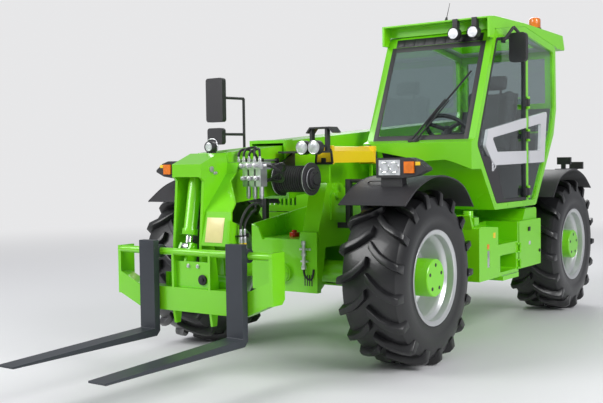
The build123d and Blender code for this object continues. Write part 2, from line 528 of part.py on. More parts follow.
with BuildPart() as cab_frame:
    slab(side(CAB_IN), CAB_OUTLINE, CAB_OUT - CAB_IN, CAB_ROUND)
    # belt under the windscreen, its lower edge falling towards the door
    slab(side(CAB_IN), ((on_screen(1560, 0), 1560), (-738, 1540), (-738, 1330), (-500, 1330), (-600, 1500)),
         CAB_OUT - CAB_IN)
    slab(front(-500), ((CAB_IN, 1498), (261, 1475), (673, 1397), (842, 1407), (911, 1388), (CAB_OUT, 1334), (CAB_OUT, 1300),
                       (CAB_IN, 1300)), 300, mode=Mode.SUBTRACT)
    slab(side(CAB_IN), ((-310, CAB_FLOOR), (-638, 1422), (-560, 1422), (-290, 1050)), CAB_OUT - CAB_IN)
    slab(side(CAB_IN + CAB_WALL), CAB_INSIDE, CAB_OUT - CAB_IN - 2 * CAB_WALL, HOLE_ROUND, mode=Mode.SUBTRACT)
    # the opening of the left side, and the hinge post that divides it
    slab(side(CAB_OUT - CAB_WALL), CAB_HOLE, CAB_WALL, HOLE_ROUND, mode=Mode.SUBTRACT)
    slab(side(CAB_OUT - CAB_WALL), ((POST_Y, 1045), (POST_Y + POST_W, 1045), (POST_Y + POST_W, 2450), (POST_Y, 2450)),
         CAB_WALL)
    slab(side(CAB_IN), RIGHT_HOLE, CAB_WALL, HOLE_ROUND, mode=Mode.SUBTRACT)
    # windscreen, roof window and rear window
    block((CAB_IN + FRAME_SIDE, CAB_OUT - FRAME_SIDE), (-760, -230), SCREEN_Z, mode=Mode.SUBTRACT)
    block((CAB_IN + ROOF_SIDE, CAB_OUT - ROOF_SIDE), ROOF_HOLE, (2370, 2560), mode=Mode.SUBTRACT)
    block((CAB_IN + REAR_SIDE, CAB_OUT - REAR_SIDE), (1000, 1100), REAR_HOLE, mode=Mode.SUBTRACT)
    # ears and pins of the door's hinges
    for z in HINGES:
        for low in (z - BARREL_H / 2 - 20, z + BARREL_H / 2 + 2):
            block((CAB_OUT, DOOR_PIN_X), (DOOR_PIN_Y, POST_Y + 40), (low, low + 18))
            rod((DOOR_PIN_X, DOOR_PIN_Y, low), (DOOR_PIN_X, DOOR_PIN_Y, low + 18), BARREL_R)
        rod((DOOR_PIN_X, DOOR_PIN_Y, z - BARREL_H / 2 - 10), (DOOR_PIN_X, DOOR_PIN_Y, z + BARREL_H / 2 + 10),
            DOOR_PIN_R)
keep(cab_frame.part, "cab_frame")

ROOF_T = 12
with BuildPart() as roof_visor:
    slab(side(CAB_IN - 5), ((-405, 2500), (-300, 2512), (320, 2524), (1250, 2515), (1300, 2400), (1290, 2385),
                            (1130, 2385), (1067, 2398), (320, 2500), (-300, 2414), (on_screen(2340, 0), 2340),
                            (-405, 2340)), CAB_OUT - CAB_IN + 10)
    block((CAB_IN + 15, CAB_OUT - 15), (-410, -290), (2330, 2500 - ROOF_T), mode=Mode.SUBTRACT)
    block((CAB_IN + ROOF_SIDE, CAB_OUT - ROOF_SIDE), ROOF_HOLE, (2370, 2560), mode=Mode.SUBTRACT)
keep(roof_visor.part, "roof_visor")

with BuildPart() as windscreen:
    low, top = SCREEN_Z
    slab(side(CAB_IN + FRAME_SIDE), ((on_screen(low, 4), low), (on_screen(top, 4), top),
                                     (on_screen(top, 4 + GLASS_T), top), (on_screen(low, 4 + GLASS_T), low)),
         CAB_OUT - CAB_IN - 2 * FRAME_SIDE)
keep(windscreen.part, "windscreen")

# fixed panes: quarter light, right side, rear and roof
with BuildPart() as cab_glass:
    with BuildSketch(side(CAB_OUT - 22)) as quarter:
        Polygon(*CAB_HOLE)
        fillet(quarter.vertices(), HOLE_ROUND)
        Polygon((-800, 900), (POST_Y + POST_W, 900), (POST_Y + POST_W, 2600), (-800, 2600), mode=Mode.SUBTRACT)
    extrude(quarter.sketch, amount=GLASS_T)
    slab(side(CAB_IN + 12), RIGHT_HOLE, GLASS_T, HOLE_ROUND)
    block((CAB_IN + REAR_SIDE, CAB_OUT - REAR_SIDE), (1052, 1052 + GLASS_T), REAR_HOLE)
    slab(side(CAB_IN + ROOF_SIDE), ((0, 2500), (860, 2500), (860, 2500 + GLASS_T), (0, 2500 + GLASS_T)),
         CAB_OUT - CAB_IN - 2 * ROOF_SIDE)
keep(cab_glass.part, "cab_glass")

# ------------------------------------------------------------------ door
DOOR_T = 34
DOOR_BORDER = 24            # dark border round the door's glass
INFILL = ((-700, 1000), (-112, 1000), (-112, 1037), (-290, 1420), (-700, 1440))     # closed lower front corner


def door_shape(x, border):
    """The door's outline at x, drawn in by a border."""
    with BuildSketch(side(x)) as drawn:
        Polygon(*CAB_HOLE)
        fillet(drawn.vertices(), HOLE_ROUND)
        Polygon((POST_Y, 900), (1300, 900), (1300, 2600), (POST_Y, 2600), mode=Mode.SUBTRACT)
        offset(amount=-GAP - border, kind=Kind.INTERSECTION)
    return drawn.sketch


with BuildPart() as door_frame:
    extrude(door_shape(CAB_OUT - DOOR_T, 0), amount=DOOR_T)
    with BuildPart(mode=Mode.PRIVATE) as light:
        extrude(door_shape(CAB_OUT - DOOR_T, DOOR_BORDER), amount=DOOR_T)
        slab(side(CAB_OUT - DOOR_T), INFILL, DOOR_T, mode=Mode.SUBTRACT)
    add(light.part, mode=Mode.SUBTRACT)
    for z in HINGES:
        block((CAB_OUT, DOOR_PIN_X), (POST_Y - 60, DOOR_PIN_Y), (z - BARREL_H / 2, z + BARREL_H / 2))
        rod((DOOR_PIN_X, DOOR_PIN_Y, z - BARREL_H / 2), (DOOR_PIN_X, DOOR_PIN_Y, z + BARREL_H / 2), BARREL_R)
        rod((DOOR_PIN_X, DOOR_PIN_Y, z - BARREL_H / 2), (DOOR_PIN_X, DOOR_PIN_Y, z + BARREL_H / 2),
            DOOR_PIN_R + RUN, Mode.SUBTRACT)
keep(door_frame.part, "door_frame")

with BuildPart() as door_glass:
    extrude(door_shape(CAB_OUT - 22, DOOR_BORDER), amount=GLASS_T)
    slab(side(CAB_OUT - 22), INFILL, GLASS_T, mode=Mode.SUBTRACT)
keep(door_glass.part, "door_glass")

# pale trim ring, half on the door and half on the quarter light
RING = ((-448, 1633), (-497, 1505), (-339, 1357), (761, 1373), (827, 1813))
RING_HOLE = ((-369, 1570), (-272, 1461), (660, 1475), (682, 1707))
for name, first, last in (("door_trim", -600, POST_Y - 2 * GAP), ("quarter_trim", POST_Y + POST_W + GAP, 900)):
    with BuildPart() as trim:
        slab(side(CAB_OUT - 22 + GLASS_T), RING, 24, 22)
        slab(side(CAB_OUT - 22 + GLASS_T), RING_HOLE, 24, 14, mode=Mode.SUBTRACT)
        slab(side(CAB_OUT - 22 + GLASS_T), ((first, 1200), (last, 1200), (last, 1900), (first, 1900)), 24,
             mode=Mode.INTERSECT)
        add(door_frame.part, mode=Mode.SUBTRACT)
    keep(trim.part, name)

# ------------------------------------------------------------------ seat and controls
with BuildPart() as seat:
    block((420, 740), (200, 520), (1050, 1330))
    block((360, 800), (150, 660), (1330, 1370))
    slab(side(350), ((130, 1370), (640, 1370), (640, 1470), (150, 1480)), 460, 30)
    slab(side(360), ((600, 1470), (720, 1440), (850, 2000), (750, 2010)), 440, 30)
    slab(side(450), ((755, 2015), (845, 2005), (885, 2150), (805, 2160)), 260, 20)
    for x in (300, 815):
        block((x, x + 45), (300, 700), (1600, 1650))
        block((x + 10, x + 35), (640, 690), (1400, 1600))
        block((sorted((x + 10, 400))[0], sorted((x + 35, 760))[1]), (640, 690), (1380, 1400))
keep(seat.part, "seat")

WHEEL_HUB = Vector(580, MID_Y - 150, 1640)
STEER_R = 185
with BuildPart() as dashboard:
    slab(side(300), ((-585, 1470), (-290, 1080), (-270, 1050), (-200, 1050), (-230, 1350), (-380, 1545)), 480)
    rod((580, -330, 1430), (580, -150, 1640), 25)
    with BuildSketch(Plane(origin=WHEEL_HUB, x_dir=(1, 0, 0), z_dir=(0, 180, 210))) as wheel:
        Circle(STEER_R)
        Circle(STEER_R - 26, mode=Mode.SUBTRACT)
        with PolarLocations(0, 3, start_angle=90):
            with Locations((STEER_R / 2, 0)):
                Rectangle(STEER_R - 10, 24)
        Circle(38)
    extrude(wheel.sketch, amount=24)
    add(cab_frame.part, mode=Mode.SUBTRACT)
keep(dashboard.part, "dashboard")

# ------------------------------------------------------------------ left side: steps and locker
STEP_IN, STEP_OUT = 600, CAB_OUT - 5
BOX_Y = (190, 690)
BOX_Z = (495, 888)
HUMP_Z = 984                # top of the locker's rear, over the cab's rear mount
LOCKER_HINGES = (542, 675)
LOCKER_PIN_X, LOCKER_PIN_Y = STEP_OUT + 12, BOX_Y[0] + 4
LOCKER_PIN_R = 5
LOCKER_BARREL_R = 10
with BuildPart() as step_box:
    slab(side(STEP_IN), ((-600, 475), (-600, 880), (-560, 894), (-250, 870), (BOX_Y[0] - GAP, 888),
                         (BOX_Y[0] - GAP, 475)), STEP_OUT - STEP_IN)
    # flange that sweeps up behind the front wheel
    slab(side(STEP_IN), ((-600, 870), (-650, 980), (-636, 984), (-572, 894)), 400)
    slab(side(STEP_IN + 180), ((-200, 506), (-200, 640), (130, 640), (130, 506)), 400, 12, mode=Mode.SUBTRACT)
    slab(side(STEP_IN + 180), ((-237, 729), (-237, 960), (165, 960), (165, 729)), 400, mode=Mode.SUBTRACT)
    block((STEP_OUT - 195, STEP_OUT + 15), (-180, 150), (440, 475))
    for y in (-500, 60):
        block((RAIL_HALF, STEP_IN), (y, y + 80), (560, 700))
    # hinge ears and pins of the locker's door
    for z in LOCKER_HINGES:
        for low in (z - 40, z + 26):
            block((STEP_OUT, LOCKER_PIN_X), (LOCKER_PIN_Y - 45, LOCKER_PIN_Y), (low, low + 14))
            rod((LOCKER_PIN_X, LOCKER_PIN_Y, low), (LOCKER_PIN_X, LOCKER_PIN_Y, low + 14), LOCKER_BARREL_R)
        rod((LOCKER_PIN_X, LOCKER_PIN_Y, z - 35), (LOCKER_PIN_X, LOCKER_PIN_Y, z + 35), LOCKER_PIN_R)
keep(step_box.part, "step_box")

LOCKER_SKIN = 35            # from the locker's mouth to the outside of its door
with BuildPart() as side_locker:
    slab(side(STEP_IN), ((BOX_Y[0], BOX_Z[0]), (BOX_Y[1], BOX_Z[0]), (BOX_Y[1], HUMP_Z), (430, HUMP_Z), (370, BOX_Z[1]),
                         (BOX_Y[0], BOX_Z[1])), STEP_OUT - LOCKER_SKIN - STEP_IN, 30)
    block((STEP_IN + 20, STEP_OUT), (BOX_Y[0] + 20, BOX_Y[1] - 20), (BOX_Z[0] + 20, BOX_Z[1] - 20),
          mode=Mode.SUBTRACT)
    # channel over the cab's rear cross beam
    block((STEP_IN, 1006), (OUTRIGGERS[1] - GAP, OUTRIGGERS[1] + 80 + GAP), (894, 1020), mode=Mode.SUBTRACT)
    block((RAIL_HALF, STEP_IN), (440, 520), (560, 700))
keep(side_locker.part, "side_locker")

with BuildPart() as locker_door:
    slab(side(STEP_OUT - LOCKER_SKIN + GAP), ((BOX_Y[0] + 15, BOX_Z[0]), (BOX_Y[1] + 10, BOX_Z[0]),
                                              (BOX_Y[1] + 10, BOX_Z[1]), (BOX_Y[0] + 15, BOX_Z[1])),
         LOCKER_SKIN - GAP, 14)
    for z in LOCKER_HINGES:
        block((STEP_OUT, LOCKER_PIN_X), (LOCKER_PIN_Y, LOCKER_PIN_Y + 50), (z - 24, z + 24))
        rod((LOCKER_PIN_X, LOCKER_PIN_Y, z - 24), (LOCKER_PIN_X, LOCKER_PIN_Y, z + 24), LOCKER_BARREL_R)
        rod((LOCKER_PIN_X, LOCKER_PIN_Y, z - 24), (LOCKER_PIN_X, LOCKER_PIN_Y, z + 24), LOCKER_PIN_R + RUN,
            Mode.SUBTRACT)
keep(locker_door.part, "locker_door")

# ------------------------------------------------------------------ right side: engine, its pod and hood
POD_R, POD_L = -1090, -400
POD_Y = 700                 # half length
POD_T = 20
POD_FLOOR = 590
HOOD_LOW, HOOD_TOP = 980, 1380
HOOD_PIN_X, HOOD_PIN_Z = POD_L + 14, HOOD_TOP - 10     # the hood opens about its inner top edge
HOOD_PIN_R = 7
HOOD_BARREL_R = 12
HOOD_HINGES = (-450, 400)   # stations of the barrels' front ends
HOOD_BARREL = 80
with BuildPart() as engine_block:
    block((-960, -470), (-430, 560), (640, 1180))
    for y in (-350, 420):
        block((-900, -530), (y, y + 60), (POD_FLOOR, 640))
keep(engine_block.part, "engine_block")

with BuildPart() as engine_pod:
    block((POD_R, POD_L), (-POD_Y, POD_Y), (560, HOOD_LOW))
    block((POD_R + POD_T, POD_L - POD_T), (POD_T - POD_Y, POD_Y - POD_T), (POD_FLOOR, HOOD_LOW),
          mode=Mode.SUBTRACT)
    # inner wall, which stays when the hood opens
    block((POD_L - POD_T, POD_L), (POD_T + GAP - POD_Y, POD_Y - POD_T - GAP), (HOOD_LOW, HOOD_TOP - 40))
    for y in OUTRIGGERS:
        block((POD_L, -RAIL_HALF), (y, y + 80), (600, 700))
    # hinge ears and pins of the hood
    for y in HOOD_HINGES:
        for first in (y - 24, y + HOOD_BARREL + 4):
            block((POD_L - POD_T, HOOD_PIN_X + HOOD_BARREL_R), (first, first + 20), (1290, HOOD_TOP - 40))
            block((POD_L + GAP, HOOD_PIN_X + HOOD_BARREL_R), (first, first + 20), (1290, HOOD_PIN_Z))
            rod((HOOD_PIN_X, first, HOOD_PIN_Z), (HOOD_PIN_X, first + 20, HOOD_PIN_Z), HOOD_BARREL_R)
        rod((HOOD_PIN_X, y - 24, HOOD_PIN_Z), (HOOD_PIN_X, y + HOOD_BARREL + 24, HOOD_PIN_Z), HOOD_PIN_R)
keep(engine_pod.part, "engine_pod")

HOOD_ROUND = 110
SLOTS = 9
with BuildPart() as engine_hood:
    with BuildSketch(front(POD_Y)) as skin:
        Polygon((POD_R, HOOD_LOW + GAP), (POD_R, HOOD_TOP), (POD_L, HOOD_TOP), (POD_L, HOOD_LOW + GAP))
        fillet(skin.vertices().group_by(Axis.Z)[-1].sort_by(Axis.X)[0], HOOD_ROUND)
    extrude(skin.sketch, amount=2 * POD_Y)
    with BuildSketch(front(POD_Y - POD_T)) as room:
        Polygon((POD_R + POD_T, 900), (POD_R + POD_T, HOOD_TOP - POD_T), (POD_L + 10, HOOD_TOP - POD_T), (POD_L + 10, 900))
        fillet(room.vertices().group_by(Axis.Z)[-1].sort_by(Axis.X)[0], HOOD_ROUND - POD_T)
    extrude(room.sketch, amount=2 * (POD_Y - POD_T), mode=Mode.SUBTRACT)
    # air slots in the outer side and in the front
    for slot in range(SLOTS):
        y = -POD_Y + 130 + slot * 50
        block((POD_R, POD_R + POD_T), (y, y + 26), (HOOD_LOW + 60, HOOD_LOW + 230), mode=Mode.SUBTRACT)
        x = POD_R + 150 + slot * 45
        block((x, x + 22), (-POD_Y, POD_T - POD_Y), (HOOD_LOW + 60, HOOD_LOW + 260), mode=Mode.SUBTRACT)
    for y in HOOD_HINGES:
        block((POD_L - 10, HOOD_PIN_X), (y, y + HOOD_BARREL), (HOOD_TOP - POD_T, HOOD_TOP))
        rod((HOOD_PIN_X, y, HOOD_PIN_Z), (HOOD_PIN_X, y + HOOD_BARREL, HOOD_PIN_Z), HOOD_BARREL_R)
        rod((HOOD_PIN_X, y, HOOD_PIN_Z), (HOOD_PIN_X, y + HOOD_BARREL, HOOD_PIN_Z), HOOD_PIN_R + RUN, Mode.SUBTRACT)
keep(engine_hood.part, "engine_hood")

# ------------------------------------------------------------------ fenders and their lamps
# over the front wheels; the rear ones are the same about the middle of the machine
FENDER_T = 8
FENDER_IN, FENDER_OUT = 620, 1120
STAY_X = 360
STAY_Z, STAY_R = 1262, 14
FENDER = ((-460, 1112), (-350, 1187), (-250, 1237), (-75, 1288), (105, 1295), (330, 1255), (480, 1180), (580, 1060))
with BuildPart() as fenders:
    for end, axle in ((-1, FRONT_AXLE), (1, REAR_AXLE)):
        for hand in (-1, 1):
            upper = tuple((axle - end * y, z + FENDER_T) for y, z in FENDER)
            lower = tuple((axle - end * y, z) for y, z in reversed(FENDER))
            slab(side(FENDER_IN if hand > 0 else -FENDER_OUT), upper + lower, FENDER_OUT - FENDER_IN)
    # stays that stand beside the rails and pass over the wheels
    for hand in (-1, 1):
        for y in (FRONT_AXLE + 60, REAR_AXLE - 60):
            block(sorted((hand * RAIL_HALF, hand * (STAY_X + 40))), (y - 20, y + 20), (920, 960))
            block(sorted((hand * STAY_X, hand * (STAY_X + 40))), (y - 20, y + 20), (920, STAY_Z + STAY_R))
            rod((hand * STAY_X, y, STAY_Z), (hand * (FENDER_IN + 60), y, STAY_Z), STAY_R)
            block(sorted((hand * (FENDER_IN + 10), hand * (FENDER_IN + 60))), (y - 20, y + 20),
                  (STAY_Z, 1297))
keep(fenders.part, "fenders")

# housings on the front fenders, lamps under the roof's lip, lamps on the rear fenders
LAMP_Y = -1720              # station of the headlamps' faces
WORK_LAMPS = (780, 942)     # x of the two lamps under the roof's lip
WORK_Y, WORK_Z, WORK_R = -450, 2385, 48
TAIL_LAMPS = ((1689, 1378), (2049, 1330))   # stations and heights of the amber and the red one
TAIL_BAR_Y, TAIL_BAR_Z = 1500, 1290         # bar that carries them, from the rear fender's crown
BEACON_X, BEACON_Y = 840, 1150
SINK = 4                    # how far lenses stand in their housings
with BuildPart() as lamp_housings:
    for hand in (-1, 1):
        face = [(hand * x, z) for x, z in ((815, 1292), (815, 1424), (1060, 1424), (1120, 1405), (1186, 1355),
                                           (1186, 1340), (1110, 1305), (1020, 1292))]
        slab(front(LAMP_Y + 90), face if hand < 0 else face[::-1], 90)
        stay = sorted((hand * 840, hand * 1000))
        slab(side(stay[0]), ((LAMP_Y + 20, 1292), (LAMP_Y + 80, 1292), (LAMP_Y + 80, 1251), (LAMP_Y + 20, 1229)),
             stay[1] - stay[0])
        lens = sorted((hand * 832, hand * 997))
        block(lens, (LAMP_Y, LAMP_Y + SINK), (1307, 1412), mode=Mode.SUBTRACT)
        lens = sorted((hand * 1028, hand * 1102))
        block(lens, (LAMP_Y, LAMP_Y + SINK), (1320, 1400), mode=Mode.SUBTRACT)
        for y, z in TAIL_LAMPS:
            block(sorted((hand * 860, hand * 990)), (y - 15, y + 25), (z - 35, z + 35))
            block(sorted((hand * 900, hand * 940)), (y - 15, y + 10), (TAIL_BAR_Z, z))
        block(sorted((hand * 900, hand * 940)), (TAIL_BAR_Y, TAIL_LAMPS[1][0]), (TAIL_BAR_Z, TAIL_BAR_Z + 14))
    for x in WORK_LAMPS:
        rod((x, WORK_Y + 55, WORK_Z), (x, WORK_Y, WORK_Z), WORK_R)
        rod((x, WORK_Y, WORK_Z), (x, WORK_Y + SINK, WORK_Z), WORK_R - 6, Mode.SUBTRACT)
        block((x - 20, x + 20), (WORK_Y + 30, WORK_Y + 80), (WORK_Z + 20, 2500))
    rod((BEACON_X, BEACON_Y, 2500), (BEACON_X, BEACON_Y, 2580), 14)
    rod((BEACON_X, BEACON_Y, 2570), (BEACON_X, BEACON_Y, 2595), 58)
    # black lamp under the rear of the roof
    block((700, 900), (1250, 1290), (2340, 2400))
    add(roof_visor.part, mode=Mode.SUBTRACT)
    add(fenders.part, mode=Mode.SUBTRACT)
keep(lamp_housings.part, "lamp_housings")

with BuildPart() as lamp_lenses:
    for hand in (-1, 1):
        block(sorted((hand * 834, hand * 995)), (LAMP_Y, LAMP_Y + SINK), (1309, 1410))
    for x in WORK_LAMPS:
        rod((x, WORK_Y, WORK_Z), (x, WORK_Y + SINK, WORK_Z), WORK_R - 7)
keep(lamp_lenses.part, "lamp_lenses")

with BuildPart() as amber_lenses:
    for hand in (-1, 1):
        block(sorted((hand * 1030, hand * 1100)), (LAMP_Y - 14, LAMP_Y + SINK), (1322, 1398))
        y, z = TAIL_LAMPS[0]
        block(sorted((hand * 866, hand * 984)), (y + 25, y + 41), (z - 29, z + 29))
    with BuildSketch(level(2595)):
        with Locations((BEACON_X, BEACON_Y)):
            Circle(52)
    extrude(amount=95)
    fillet(amber_lenses.edges().filter_by(GeomType.CIRCLE).sort_by(Axis.Z)[-1], 26)
keep(amber_lenses.part, "amber_lenses")

with BuildPart() as red_lenses:
    y, z = TAIL_LAMPS[1]
    for hand in (-1, 1):
        block(sorted((hand * 866, hand * 984)), (y + 25, y + 41), (z - 29, z + 29))
keep(red_lenses.part, "red_lenses")

# ------------------------------------------------------------------ hose drum, valve block and strut
DRUM_Y, DRUM_Z = -1730, 1285
DRUM_PLATE = (-5, 15)       # bracket plate on the collar's outer side
with BuildPart() as hose_drum:
    slab(side(DRUM_PLATE[0]), ((DRUM_Y - 60, DRUM_Z - 45), (DRUM_Y - 60, DRUM_Z + 60), (-1520, 1480), (-1520, 1250)),
         DRUM_PLATE[1] - DRUM_PLATE[0])
    rod((DRUM_PLATE[1], DRUM_Y, DRUM_Z), (320, DRUM_Y, DRUM_Z), 75)
    for x in (30, 290):
        rod((x, DRUM_Y, DRUM_Z), (x + 14, DRUM_Y, DRUM_Z), 115)
    rod((320, DRUM_Y, DRUM_Z), (345, DRUM_Y, DRUM_Z), 38)
keep(hose_drum.part, "hose_drum")

with BuildPart() as valve_block:
    block((BOOM_X + INNER_W / 2, 235), (-2210, -2115), (1360, 1410))
    for x in (60, 115, 170):
        block((x, x + 42), (-2200, -2130), (1245, 1360))
        rod((x + 21, -2165, 1180), (x + 21, -2165, 1245), 17)
        rod((x + 21, -2240, 1385), (x + 21, -2210, 1385), 13)
keep(valve_block.part, "valve_block")

BOOM_LAMPS = (212, 314)     # x of the two round lamps beside the boom
BOOM_LAMP_Z = 1505
with BuildPart() as boom_lamp:
    block((BOOM_X + OUTER_W / 2, 350), (-1690, -1540), (1468, 1482))
    for x in BOOM_LAMPS:
        rod((x, -1660, BOOM_LAMP_Z), (x, -1720, BOOM_LAMP_Z), 50)
        rod((x, -1720, BOOM_LAMP_Z), (x, -1716, BOOM_LAMP_Z), 43, Mode.SUBTRACT)
    # guard over the hoses, standing on the lamps' plate
    slab(front(STRUT_Y[0] - 15), ((172, 1610), (205, 1651), (376, 1651), (409, 1610), (397, 1606), (370, 1639),
                                  (211, 1639), (184, 1606)), 105)
    for x in (200, 330):
        block((x, x + 20), (-1600, -1560), (1482, 1645))
    add(boom_outer.part, mode=Mode.SUBTRACT)
    add(hose_drum.part, mode=Mode.SUBTRACT)
keep(boom_lamp.part, "boom_lamp")

with BuildPart() as head_lamp:
    block((-176, -126), (-2290, -2250), (1472, 1484))
    rod((-151, -2240, 1515), (-151, -2300, 1515), 36)
    rod((-151, -2300, 1515), (-151, -2296, 1515), 30, Mode.SUBTRACT)
keep(head_lamp.part, "head_lamp")

with BuildPart() as safety_strut:
    # a half-hexagon channel lying along the left rail
    with BuildSketch(front(STRUT_Y[1])) as channel:
        Polygon((STRUT_X[0], 1395), (STRUT_X[0] + 10, 1480), (STRUT_X[0] + 50, 1515), (STRUT_X[1] - 50, 1515),
                (STRUT_X[1] - 10, 1480), (STRUT_X[1], 1395))
        Polygon((STRUT_X[0] + 12, 1395), (STRUT_X[0] + 21, 1474), (STRUT_X[0] + 55, 1503), (STRUT_X[1] - 55, 1503),
                (STRUT_X[1] - 21, 1474), (STRUT_X[1] - 12, 1395), mode=Mode.SUBTRACT)
    extrude(channel.sketch, amount=600)
    for first, last in ((STRUT_Y[1] - 25, STRUT_Y[1]), (STRUT_Y[0], STRUT_Y[0] + 30)):
        block(STRUT_X, (first, last), (STRUT_Z, 1520))
keep(safety_strut.part, "safety_strut")

# ------------------------------------------------------------------ mirrors
MIRROR_OUT = 1225           # outer edges of both mirrors
MIRROR_W = 180
MIRROR_T = 50
ARM_R = 12
with BuildPart() as mirror_left:
    block((CAB_OUT, CAB_OUT + 18), (-175, -125), (2318, 2358))
    rod((CAB_OUT + 14, -150, 2336), (CAB_OUT + 80, -110, 2440), ARM_R)
    rod((CAB_OUT + 80, -110, 2440), (MIRROR_OUT - 60, -50, 2390), ARM_R)
    slab(front(MIRROR_T - 75), ((MIRROR_OUT, 2170), (MIRROR_OUT, 2400), (MIRROR_OUT - 140, 2400),
                                (MIRROR_OUT - 140, 2170)), MIRROR_T, 30)
keep(mirror_left.part, "mirror_left")

post_x = POD_R + 15
head_x = -MIRROR_OUT + MIRROR_W / 2
with BuildPart() as mirror_right:
    rod((post_x, -POD_Y, 930), (post_x, -POD_Y - 40, 930), 2 * ARM_R)
    rod((post_x, -POD_Y - 35, 930), (post_x, -POD_Y - 35, 1960), ARM_R)
    for z in (1650, 1960):
        rod((post_x, -POD_Y - 35, z), (head_x, -1020, z), ARM_R)
    for low, top, inset in ((1750, 2120, 0), (1560, 1700, 10)):
        slab(front(MIRROR_T - 1060), ((-MIRROR_OUT + inset, low), (-MIRROR_OUT + inset, top),
                                      (-MIRROR_OUT + MIRROR_W - inset, top), (-MIRROR_OUT + MIRROR_W - inset, low)),
             MIRROR_T, 25)
keep(mirror_right.part, "mirror_right")
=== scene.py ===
# %% [markdown]
# # A telehandler, dressed
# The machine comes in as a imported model: frame, boom, forks, cab, wheels, each already at its place and
# on its joint. This lesson gives it paint, rubber, glass and lamps, and adds the small pieces that a
# solid model leaves out. Everything is in metres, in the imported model's own frame: the machine faces -Y,
# its left side is +X and the ground is Z = 0.

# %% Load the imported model
import json
from math import cos, pi, radians, sin, tau

import bpy
from mathutils import Matrix, Vector


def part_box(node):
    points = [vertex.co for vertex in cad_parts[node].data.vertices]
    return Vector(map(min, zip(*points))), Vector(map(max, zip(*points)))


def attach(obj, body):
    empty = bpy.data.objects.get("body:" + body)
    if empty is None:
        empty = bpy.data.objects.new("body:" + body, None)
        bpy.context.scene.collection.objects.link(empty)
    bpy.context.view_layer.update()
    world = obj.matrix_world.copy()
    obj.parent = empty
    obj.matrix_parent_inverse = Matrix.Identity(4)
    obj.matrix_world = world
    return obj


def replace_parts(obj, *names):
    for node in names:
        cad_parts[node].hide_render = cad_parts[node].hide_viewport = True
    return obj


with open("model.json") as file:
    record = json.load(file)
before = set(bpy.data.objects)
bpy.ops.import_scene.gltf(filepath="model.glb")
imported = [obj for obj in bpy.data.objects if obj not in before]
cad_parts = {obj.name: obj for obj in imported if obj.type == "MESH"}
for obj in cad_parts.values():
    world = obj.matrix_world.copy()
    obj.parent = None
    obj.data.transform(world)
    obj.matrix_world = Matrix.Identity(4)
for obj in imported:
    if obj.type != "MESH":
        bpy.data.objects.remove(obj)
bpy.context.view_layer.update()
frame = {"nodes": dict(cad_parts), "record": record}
nodes = frame["nodes"]

# %% [markdown]
# ## Camera
# The camera stands where a person would, a little to the left of the nose and at chest height. It is
# turned by three angles: round the machine, down, and a slight roll. A long lens keeps the wheels round.

# %% Camera
CAMERA_AT = (3.918, -6.246, 1.408)
ROUND, DOWN, ROLL = radians(34.74), radians(2.48), radians(-0.82)
SENSOR, LENS = 36.0, 55.1582        # mm

bpy.ops.object.select_all(action="DESELECT")
bpy.ops.object.camera_add(location=CAMERA_AT)
camera = bpy.context.object
level = Matrix.Rotation(ROUND, 4, "Z") @ Matrix.Rotation(pi / 2 - DOWN, 4, "X")
camera.rotation_euler = (level @ Matrix.Rotation(ROLL, 4, "Z")).to_euler()
camera.data.sensor_width = SENSOR
camera.data.lens = LENS
bpy.context.scene.camera = camera
print("lens", round(LENS, 1), "mm")

# %% [markdown]
# ## Floor and light
# A floor that fades into a pale backdrop has no horizon line. Large soft lamps give long gentle
# reflections, which is what makes paint look like paint. The world fills the shadows, and the camera sees
# it as plain pale grey.

# %% Floor that fades into the backdrop
BACKDROP = (0.80, 0.80, 0.81, 1)
FADE_FROM, FADE_TO = 3.5, 15.0      # metres from the middle
bpy.ops.mesh.primitive_plane_add(size=400, location=(0, 0, -0.002))
floor = bpy.context.object
floor.name = "floor"
floor_paint = bpy.data.materials.new("studio_floor")
floor_paint.use_nodes = True
net = floor_paint.node_tree
net.nodes["Principled BSDF"].inputs["Base Color"].default_value = BACKDROP
net.nodes["Principled BSDF"].inputs["Roughness"].default_value = 0.6
spot = net.nodes.new("ShaderNodeTexCoord")
away = net.nodes.new("ShaderNodeVectorMath")
away.operation = "LENGTH"
net.links.new(spot.outputs["Object"], away.inputs[0])
fade = net.nodes.new("ShaderNodeMapRange")
fade.interpolation_type = "SMOOTHSTEP"
fade.inputs["From Min"].default_value = FADE_FROM
fade.inputs["From Max"].default_value = FADE_TO
net.links.new(away.outputs["Value"], fade.inputs["Value"])
rays = net.nodes.new("ShaderNodeLightPath")
share = net.nodes.new("ShaderNodeMath")
share.operation = "MULTIPLY"
net.links.new(fade.outputs["Result"], share.inputs[0])
net.links.new(rays.outputs["Is Camera Ray"], share.inputs[1])
pale = net.nodes.new("ShaderNodeEmission")
pale.inputs["Color"].default_value = BACKDROP
mixed = net.nodes.new("ShaderNodeMixShader")
net.links.new(share.outputs[0], mixed.inputs[0])
net.links.new(net.nodes["Principled BSDF"].outputs[0], mixed.inputs[1])
net.links.new(pale.outputs[0], mixed.inputs[2])
net.links.new(mixed.outputs[0], net.nodes["Material Output"].inputs["Surface"])
floor.data.materials.append(floor_paint)
print("floor fades from", FADE_FROM, "to", FADE_TO, "m")

